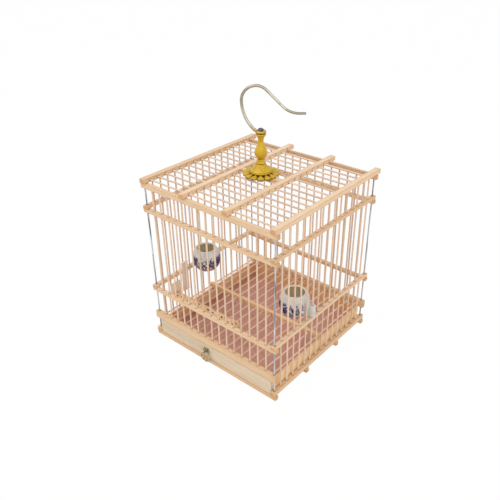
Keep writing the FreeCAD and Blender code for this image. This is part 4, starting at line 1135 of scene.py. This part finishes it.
# the hook's line with the eye as a closed loop, whose wire keeps one thickness
def hookLine():
    cut, eyeSteps = hookBend, hookBend["eyeSteps"]
    line = [Vector((along, 0, height)) for along, height in hookPoints()]
    loop = []
    for turn in anglesOf(eyeSteps):
        side, back = math.cos(math.pi + turn), math.sin(math.pi + turn)
        loop.append(Vector((cut["eye"] * side, cut["eye"] * back, cut["eyeHeight"])))
    spin = Matrix.Rotation(math.radians(cut["turn"]), 3, "Z")
    start = len(line)
    edges = [(index, index + 1) for index in range(start - 1)]
    edges += [(start + index, start + (index + 1) % eyeSteps) for index in range(eyeSteps)]
    mesh = bpy.data.meshes.new("hookLine")
    mesh.from_pydata([spin @ (point * mm) for point in line + loop], edges, [])
    steady = mesh.attributes.new("steady", "FLOAT", "POINT")
    for index in range(eyeSteps):
        steady.data[start + index].value = 1.0
    return mesh


def makeHookTree():
    tree, given, out = newTree("hookWire", {
        "Root Radius": "Float", "Tip Radius": "Float", "Eye Radius": "Float", "Material": "Material",
    })
    line = addNode(tree, "GeometryNodeMeshToCurve", {"Mesh": given["Geometry"]}).outputs[0]
    narrowing = minus(tree, given["Tip Radius"], given["Root Radius"])
    taper = plus(tree, given["Root Radius"], times(tree, curveShare(tree)["Factor"], narrowing))
    gap = times(tree, readBack(tree, "steady"), minus(tree, given["Eye Radius"], taper))
    bar = tube(tree, line, 1.0, hookBend["wireSides"], plus(tree, taper, gap))
    finishTree(tree, bar, given["Material"], out)
    return tree


hook = grown("bent_hook", makeHookTree(), {
    "Root Radius": hookBend["rootWire"] * mm, "Tip Radius": hookBend["tipWire"] * mm,
    "Eye Radius": hookBend["eyeWire"] * mm, "Material": hookPlate,
}, hookLine())
addPiece("bent_hook", hook, hookPlate, "hanging_hook", "hook_metal", "hook_wire")
print("hook made")


cupCut = {
    "tall": 32.0, "foot": 14.0, "footEdge": 0.35, "belly": 20.0, "bellyHeight": 14.7, "mouth": 15.2,
    "wall": 2.8, "reach": 23.0, "ear": 4.15, "earTall": 16.4, "earHole": 1.55, "edge": 0.7,
    "rodNumber": 6, "rightTurn": 21.0, "pole": 0.02, "sides": 72, "floorRound": 1.2,
    "outerSteps": 34, "innerSteps": 30, "lipSteps": 8, "lipOutside": 3,
    "earLayers": 8, "earBackSteps": 14, "earRootSteps": 10,
    "footRing": ((2.4, 0.7), (1.8, 0.55), (1.5, 0.1), (1.0, 0.0), (0.4, 0.05)),     # in from the foot, and up
    "floor": ((2.8, 0.45), (5.0, 0.1)),                                             # the same over the floor
}


# points on the arc through three places of (radius, height)
def arcPoints(first, second, third, count):
    (ax, ay), (bx, by), (cx, cy) = first, second, third
    a, b, c = [x ** 2 + y ** 2 for x, y in (first, second, third)]
    double = 2 * (ax * (by - cy) + bx * (cy - ay) + cx * (ay - by))
    middleX = (a * (by - cy) + b * (cy - ay) + c * (ay - by)) / double
    middleY = (a * (cx - bx) + b * (ax - cx) + c * (bx - ax)) / double
    radius = math.hypot(ax - middleX, ay - middleY)
    start, end = [math.atan2(y - middleY, x - middleX) for x, y in (first, third)]
    turns = [start + (end - start) * step / (count - 1) for step in range(count)]
    return [(middleX + radius * math.cos(turn), middleY + radius * math.sin(turn)) for turn in turns]


# the bowl's line from the middle of its foot over the lip to the middle of its floor
def cupProfile():
    cut = cupCut
    foot, mouth, wall = cut["foot"], cut["mouth"], cut["wall"]
    lip = wall / 2
    lipHeight = cut["tall"] - lip
    belly = (cut["belly"], cut["bellyHeight"])
    bellyInside = (cut["belly"] - wall, cut["bellyHeight"])
    base = [(cut["pole"], cut["footRing"][0][1])]
    base += [(foot - inset, height) for inset, height in cut["footRing"]]
    outer = arcPoints((foot, cut["footEdge"]), belly, (mouth, lipHeight), cut["outerSteps"])
    turns = [math.pi * step / cut["lipSteps"] for step in range(1, cut["lipSteps"])]
    rim = [(mouth - lip + lip * math.cos(turn), lipHeight + lip * math.sin(turn)) for turn in turns]
    inner = arcPoints(
        (mouth - wall, lipHeight), bellyInside, (foot - wall, wall + cut["floorRound"]), cut["innerSteps"],
    )
    floor = [(foot - inset, wall + height) for inset, height in cut["floor"]]
    floor += [(cut["pole"], wall)]
    firstInside = len(base) + len(outer) + cut["lipOutside"]
    return base + outer + rim + inner + floor, firstInside


# the ear at the back, in layers from the bowl's wall round the rod that it is threaded on, at the origin
def addEar(shape):
    cut = cupCut
    ear, hole, lip = cut["ear"], cut["earHole"], cut["wall"] / 2
    mouth = (cut["mouth"], cut["tall"] - lip)
    bowl = arcPoints((cut["foot"], 0.0), (cut["belly"], cut["bellyHeight"]), mouth, 60)
    backSteps, rootSteps, layers = cut["earBackSteps"], cut["earRootSteps"], cut["earLayers"]
    back = [math.pi * (step / backSteps - 0.5) for step in range(backSteps + 1)]
    sides = [ear * (1 - 2 * step / rootSteps) for step in range(1, rootSteps)]
    outerRings, holeRings = [], []
    for layer in range(layers + 1):
        height = cut["earTall"] * layer / layers
        radius = min(bowl, key=lambda spot: abs(spot[1] - height))[0] - lip
        spots = [(ear * math.cos(turn), ear * math.sin(turn)) for turn in back]
        spots += [(math.sqrt(radius ** 2 - side ** 2) - cut["reach"], side) for side in sides]
        turns = [math.atan2(y, x) for x, y in spots]
        bored = [(hole * math.cos(turn), hole * math.sin(turn)) for turn in turns]
        outerRings.append([shape.add((x, y, height), bowl=0.0) for x, y in spots])
        holeRings.append([shape.add((x, y, height), bowl=0.0) for x, y in bored])
    shape.skin(outerRings, capped=False)
    shape.skin(holeRings[::-1], capped=False)
    shape.ring(holeRings[0], outerRings[0])
    shape.ring(outerRings[-1], holeRings[-1])


def cupMesh(name, spin, place):
    line, firstInside = cupProfile()
    values = [
        {"inside": float(index > firstInside), "bowl": 1.0, "start": spin / 360}
        for index in range(len(line))
    ]
    shape = latheShape(line, values, cupCut["sides"], cupCut["tall"], closed=False)
    shape.points = [point - Vector((cupCut["reach"], 0, 0)) for point in shape.points]
    addEar(shape)
    turn = Matrix.Rotation(math.radians(spin), 3, "Z")
    shape.points = [place + turn @ (point * mm) for point in shape.points]
    return shape.mesh(name, "wrap")


# softens the cut edges of a mesh and gives back the plain mesh
def rounded(mesh, width, segments):
    holder = addObject("rounding", mesh)
    bevel = holder.modifiers.new("soften", "BEVEL")
    bevel.width = width
    bevel.segments = segments
    bevel.limit_method = "ANGLE"
    bevel.angle_limit = math.radians(60)
    solid = holder.evaluated_get(bpy.context.evaluated_depsgraph_get())
    soft = bpy.data.meshes.new_from_object(solid)
    bpy.data.objects.remove(holder)
    return soft


earY = sideLow.y + rodRadius + sidePitch * (cupCut["rodNumber"] - 1)
cups = (
    ("left_cup", "left_feed_cup", -wallX, 180.0),
    ("right_cup", "right_feed_cup", wallX, cupCut["rightTurn"]),
)
for node, body, earX, spin in cups:
    place = Vector((earX, earY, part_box(node)[0].z))
    mesh = rounded(cupMesh(node, spin, place), cupCut["edge"] * mm, 3)
    addPiece("glazed_" + node, mesh, porcelain, body, "porcelain", node)
print("cups made")


perchCut = {
    "rings": 220, "sides": 56, "pitDepth": 0.9 * mm, "pitFrom": 0.14, "pitSpan": 0.3,
    "knots": [(14 + 23 * number) * mm for number in range(5)], "knotReach": 2.4 * mm,
    "body": 0.90, "bulge": 0.055, "knot": 0.05, "most": 0.995, "least": 0.02, "endRound": 0.8,
    "bulgeScale": (55, 0.85), "pitScale": (330, 3.1),   # noise along the stick and round it
    "fineBulge": 2.7, "pitShift": Vector((7, 3, 1)), "endPit": 0.4,
}


# a peeled, worm-eaten branch along X: bulges, knots and pits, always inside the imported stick
def perchMesh():
    cut = perchCut
    low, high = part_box("perch")
    middle = (low + high) / 2
    full, length = (high.y - low.y) / 2, high.x - low.x
    shape = Shape()
    rings = []
    for step in range(cut["rings"] + 1):
        run = length * step / cut["rings"]
        toEnd = min(1.0, (length - run) / (cut["endRound"] * full))
        cap = math.sqrt(max(0.0, 1 - (1 - toEnd) ** 2))
        knot = max(math.exp(-((run - spot) / cut["knotReach"]) ** 2) for spot in cut["knots"])
        ring = []
        for angle in anglesOf(cut["sides"]):
            side, rise = math.cos(angle), math.sin(angle)
            swell, pits = [
                Vector((run * along, side * about, rise * about))
                for along, about in (cut["bulgeScale"], cut["pitScale"])
            ]
            bulge = noise.noise(swell) * 0.5 + noise.noise(swell * cut["fineBulge"]) * 0.25
            cell = noise.noise(pits + cut["pitShift"])
            pit = max(0.0, min(1.0, (cell - cut["pitFrom"]) / cut["pitSpan"]))
            radius = full * (cut["body"] + cut["bulge"] * bulge + cut["knot"] * knot)
            radius -= pit * cut["pitDepth"] * (cut["endPit"] + (1 - cut["endPit"]) * cap)
            radius = min(radius, full * cut["most"]) * max(cap, cut["least"])
            point = (low.x + run, middle.y + radius * side, middle.z + radius * rise)
            ring.append(shape.add(point, pit=pit))
        rings.append(ring)
    shape.skin(rings)
    return shape.mesh("branch_perch")


addPiece("branch_perch", perchMesh(), perchWood, "cage_frame", "perch_wood", "perch")


# rings of the plate as share of its reach and of its thickness, from the boss out to the edge
pullCut = {
    "disc": 4.4 * mm, "petal": 2.1 * mm, "count": 6, "hole": 0.62 * mm, "sides": 96, "thick": 0.99,
    "seam": 0.35, "seamWidth": 0.1, "seamFrom": 0.45,
    "levels": (
        (0.18, 0.62), (0.24, 0.98), (0.34, 1.0), (0.42, 0.62), (0.52, 0.55),
        (0.64, 0.8), (0.78, 0.92), (0.9, 0.72), (0.97, 0.4), (1.0, 0.0),
    ),
}


# pressed flower plate behind the drawer ring
def pullPlateMesh():
    cut = pullCut
    low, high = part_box("pull_plate")
    middle, thick = (low + high) / 2, (high.y - low.y) * cut["thick"]
    disc, between = cut["disc"], fullTurn / cut["count"]
    shape = Shape()
    rings = []
    for share, lift in cut["levels"]:
        ring = []
        for angle in anglesOf(cut["sides"]):
            off = angle - between * round(angle / between)
            reach, side = disc, abs(disc * math.sin(off))
            if side < cut["petal"]:
                reach = max(disc, disc * math.cos(off) + math.sqrt(cut["petal"] ** 2 - side ** 2))
            seam = math.exp(-((abs(off) - between / 2) / cut["seamWidth"]) ** 2) * cut["seam"]
            depth = thick * max(0.0, lift - seam if share > cut["seamFrom"] else lift)
            radius = max(reach * share, cut["hole"])
            x, z = middle.x + radius * math.cos(angle), middle.z + radius * math.sin(angle)
            ring.append(shape.add((x, high.y - depth, z)))
        rings.append(ring)
    shape.skin(rings[::-1])
    return shape.mesh("flower_plate")


addPiece("flower_plate", pullPlateMesh(), flowerBrass, "drawer", "pull_brass", "pull_plate")
print("perch and pull made")


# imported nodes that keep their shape
nodeFinish = {
    "drawer_front": boards["drawerFaceBoard"], "drawer_back": boards["drawerBackBoard"],
    "drawer_left_side": boards["drawerSideBoard"], "drawer_right_side": boards["drawerSideBoard"],
    "drawer_bottom": trayBoard, "pull_eye": flowerBrass, "pull_ring": ringBrass,
    **dict.fromkeys(("hook_washer", "hook_nut", "perch_screw", "perch_washer"), washerSteel),
    **dict.fromkeys(("front_left_wire", "front_right_wire", "back_left_wire", "back_right_wire"), wireSteel),
}
for node, material in nodeFinish.items():
    solid = frame["nodes"][node]
    solid.data.materials.clear()
    solid.data.materials.append(material)


# floor, light and camera
studioFloor = {"half": 9.0, "matt": (0.93, 0.90, 0.85, 1), "glow": 0.985}
white = (1, 1, 1, 1)


# 1 for what the camera sees, also in a mirror or through glass, and 0 for what only gives light
def seenDirectly(tree):
    path = addNode(tree, "ShaderNodeLightPath").outputs
    bounced = larger(tree, path["Is Glossy Ray"], path["Is Transmission Ray"])
    return larger(tree, path["Is Camera Ray"], bounced)


def makeFloor():
    mesh = bpy.data.meshes.new("studioFloor")
    half = studioFloor["half"]
    corners = [(-half, -half, 0), (half, -half, 0), (half, half, 0), (-half, half, 0)]
    mesh.from_pydata(corners, [], [(0, 1, 2, 3)])
    floor = addObject("studioFloor", mesh)
    material, tree, shader = newMaterial("studioFloor")
    mesh.materials.append(material)
    tree.nodes.remove(shader)
    share = times(tree, seenDirectly(tree), studioFloor["glow"])
    matt = addNode(tree, "ShaderNodeBsdfDiffuse", {"Color": studioFloor["matt"]}).outputs[0]
    glow = addNode(tree, "ShaderNodeEmission", {"Color": white, "Strength": 1.0}).outputs[0]
    mixed = addNode(tree, "ShaderNodeMixShader", {0: share, 1: matt, 2: glow}).outputs[0]
    feed(tree, tree.nodes["Material Output"].inputs["Surface"], mixed)


studioLight = {
    "world": 0.70, "low": (1.0, 0.85, 0.67, 1), "whiteFrom": 0.75, "aim": (0, 0, 0.13),
    "lamps": {
        "keyLamp": {"power": 15.0, "width": 1.6, "place": (-0.6, -0.8, 2.0)},
        "fillLamp": {"power": 8.0, "width": 1.8, "place": (1.7, -0.5, 1.0)},
    },
}


def makeLight():
    world = bpy.data.worlds.new("studioWorld")
    scene.world = world
    world.use_nodes = True
    tree = world.node_tree
    ground = tree.nodes["Background"].inputs
    seen = seenDirectly(tree)
    level = plus(tree, studioLight["world"], times(tree, seen, 1 - studioLight["world"]))
    feed(tree, ground["Strength"], level)
    # warm near the horizon, white overhead and wherever it is seen directly
    upward = parted(tree, addNode(tree, "ShaderNodeTexCoord").outputs["Generated"])[2]
    pale = larger(tree, seen, stepped(tree, upward, 0.0, studioLight["whiteFrom"]))
    feed(tree, ground["Color"], blended(tree, pale, studioLight["low"], white))
    for name, look in studioLight["lamps"].items():
        lamp = bpy.data.lights.new(name, "AREA")
        lamp.energy = look["power"]
        lamp.size = look["width"]
        holder = addObject(name, lamp)
        holder.location = look["place"]
        holder.rotation_mode = "QUATERNION"
        aim = Vector(studioLight["aim"]) - Vector(look["place"])
        holder.rotation_quaternion = aim.to_track_quat("-Z", "Y")


viewpoint = {
    "target": (0, 0, 0.120), "azimuth": 39.79, "elevation": 31.14, "roll": -0.29, "distance": 0.7736,
    "lens": 41.26, "sensor": 36, "shiftX": -0.0228, "shiftY": 0.0132, "near": 0.01,
}


def makeCamera():
    camera = bpy.data.cameras.new("photoCamera")
    camera.lens = viewpoint["lens"]
    camera.sensor_width = viewpoint["sensor"]
    camera.shift_x, camera.shift_y = viewpoint["shiftX"], viewpoint["shiftY"]
    camera.clip_start = viewpoint["near"]
    holder = addObject("photoCamera", camera)
    around, above, roll = [math.radians(viewpoint[key]) for key in ("azimuth", "elevation", "roll")]
    back = Vector((math.sin(around) * math.cos(above), -math.cos(around) * math.cos(above), math.sin(above)))
    holder.location = Vector(viewpoint["target"]) + back * viewpoint["distance"]
    holder.rotation_mode = "QUATERNION"
    level = (-back).to_track_quat("-Z", "Y")
    holder.rotation_quaternion = level @ Matrix.Rotation(roll, 3, "Z").to_quaternion()
    scene.camera = holder


makeFloor()
makeLight()
makeCamera()
scene.view_settings.view_transform = "Standard"
print("stage set")
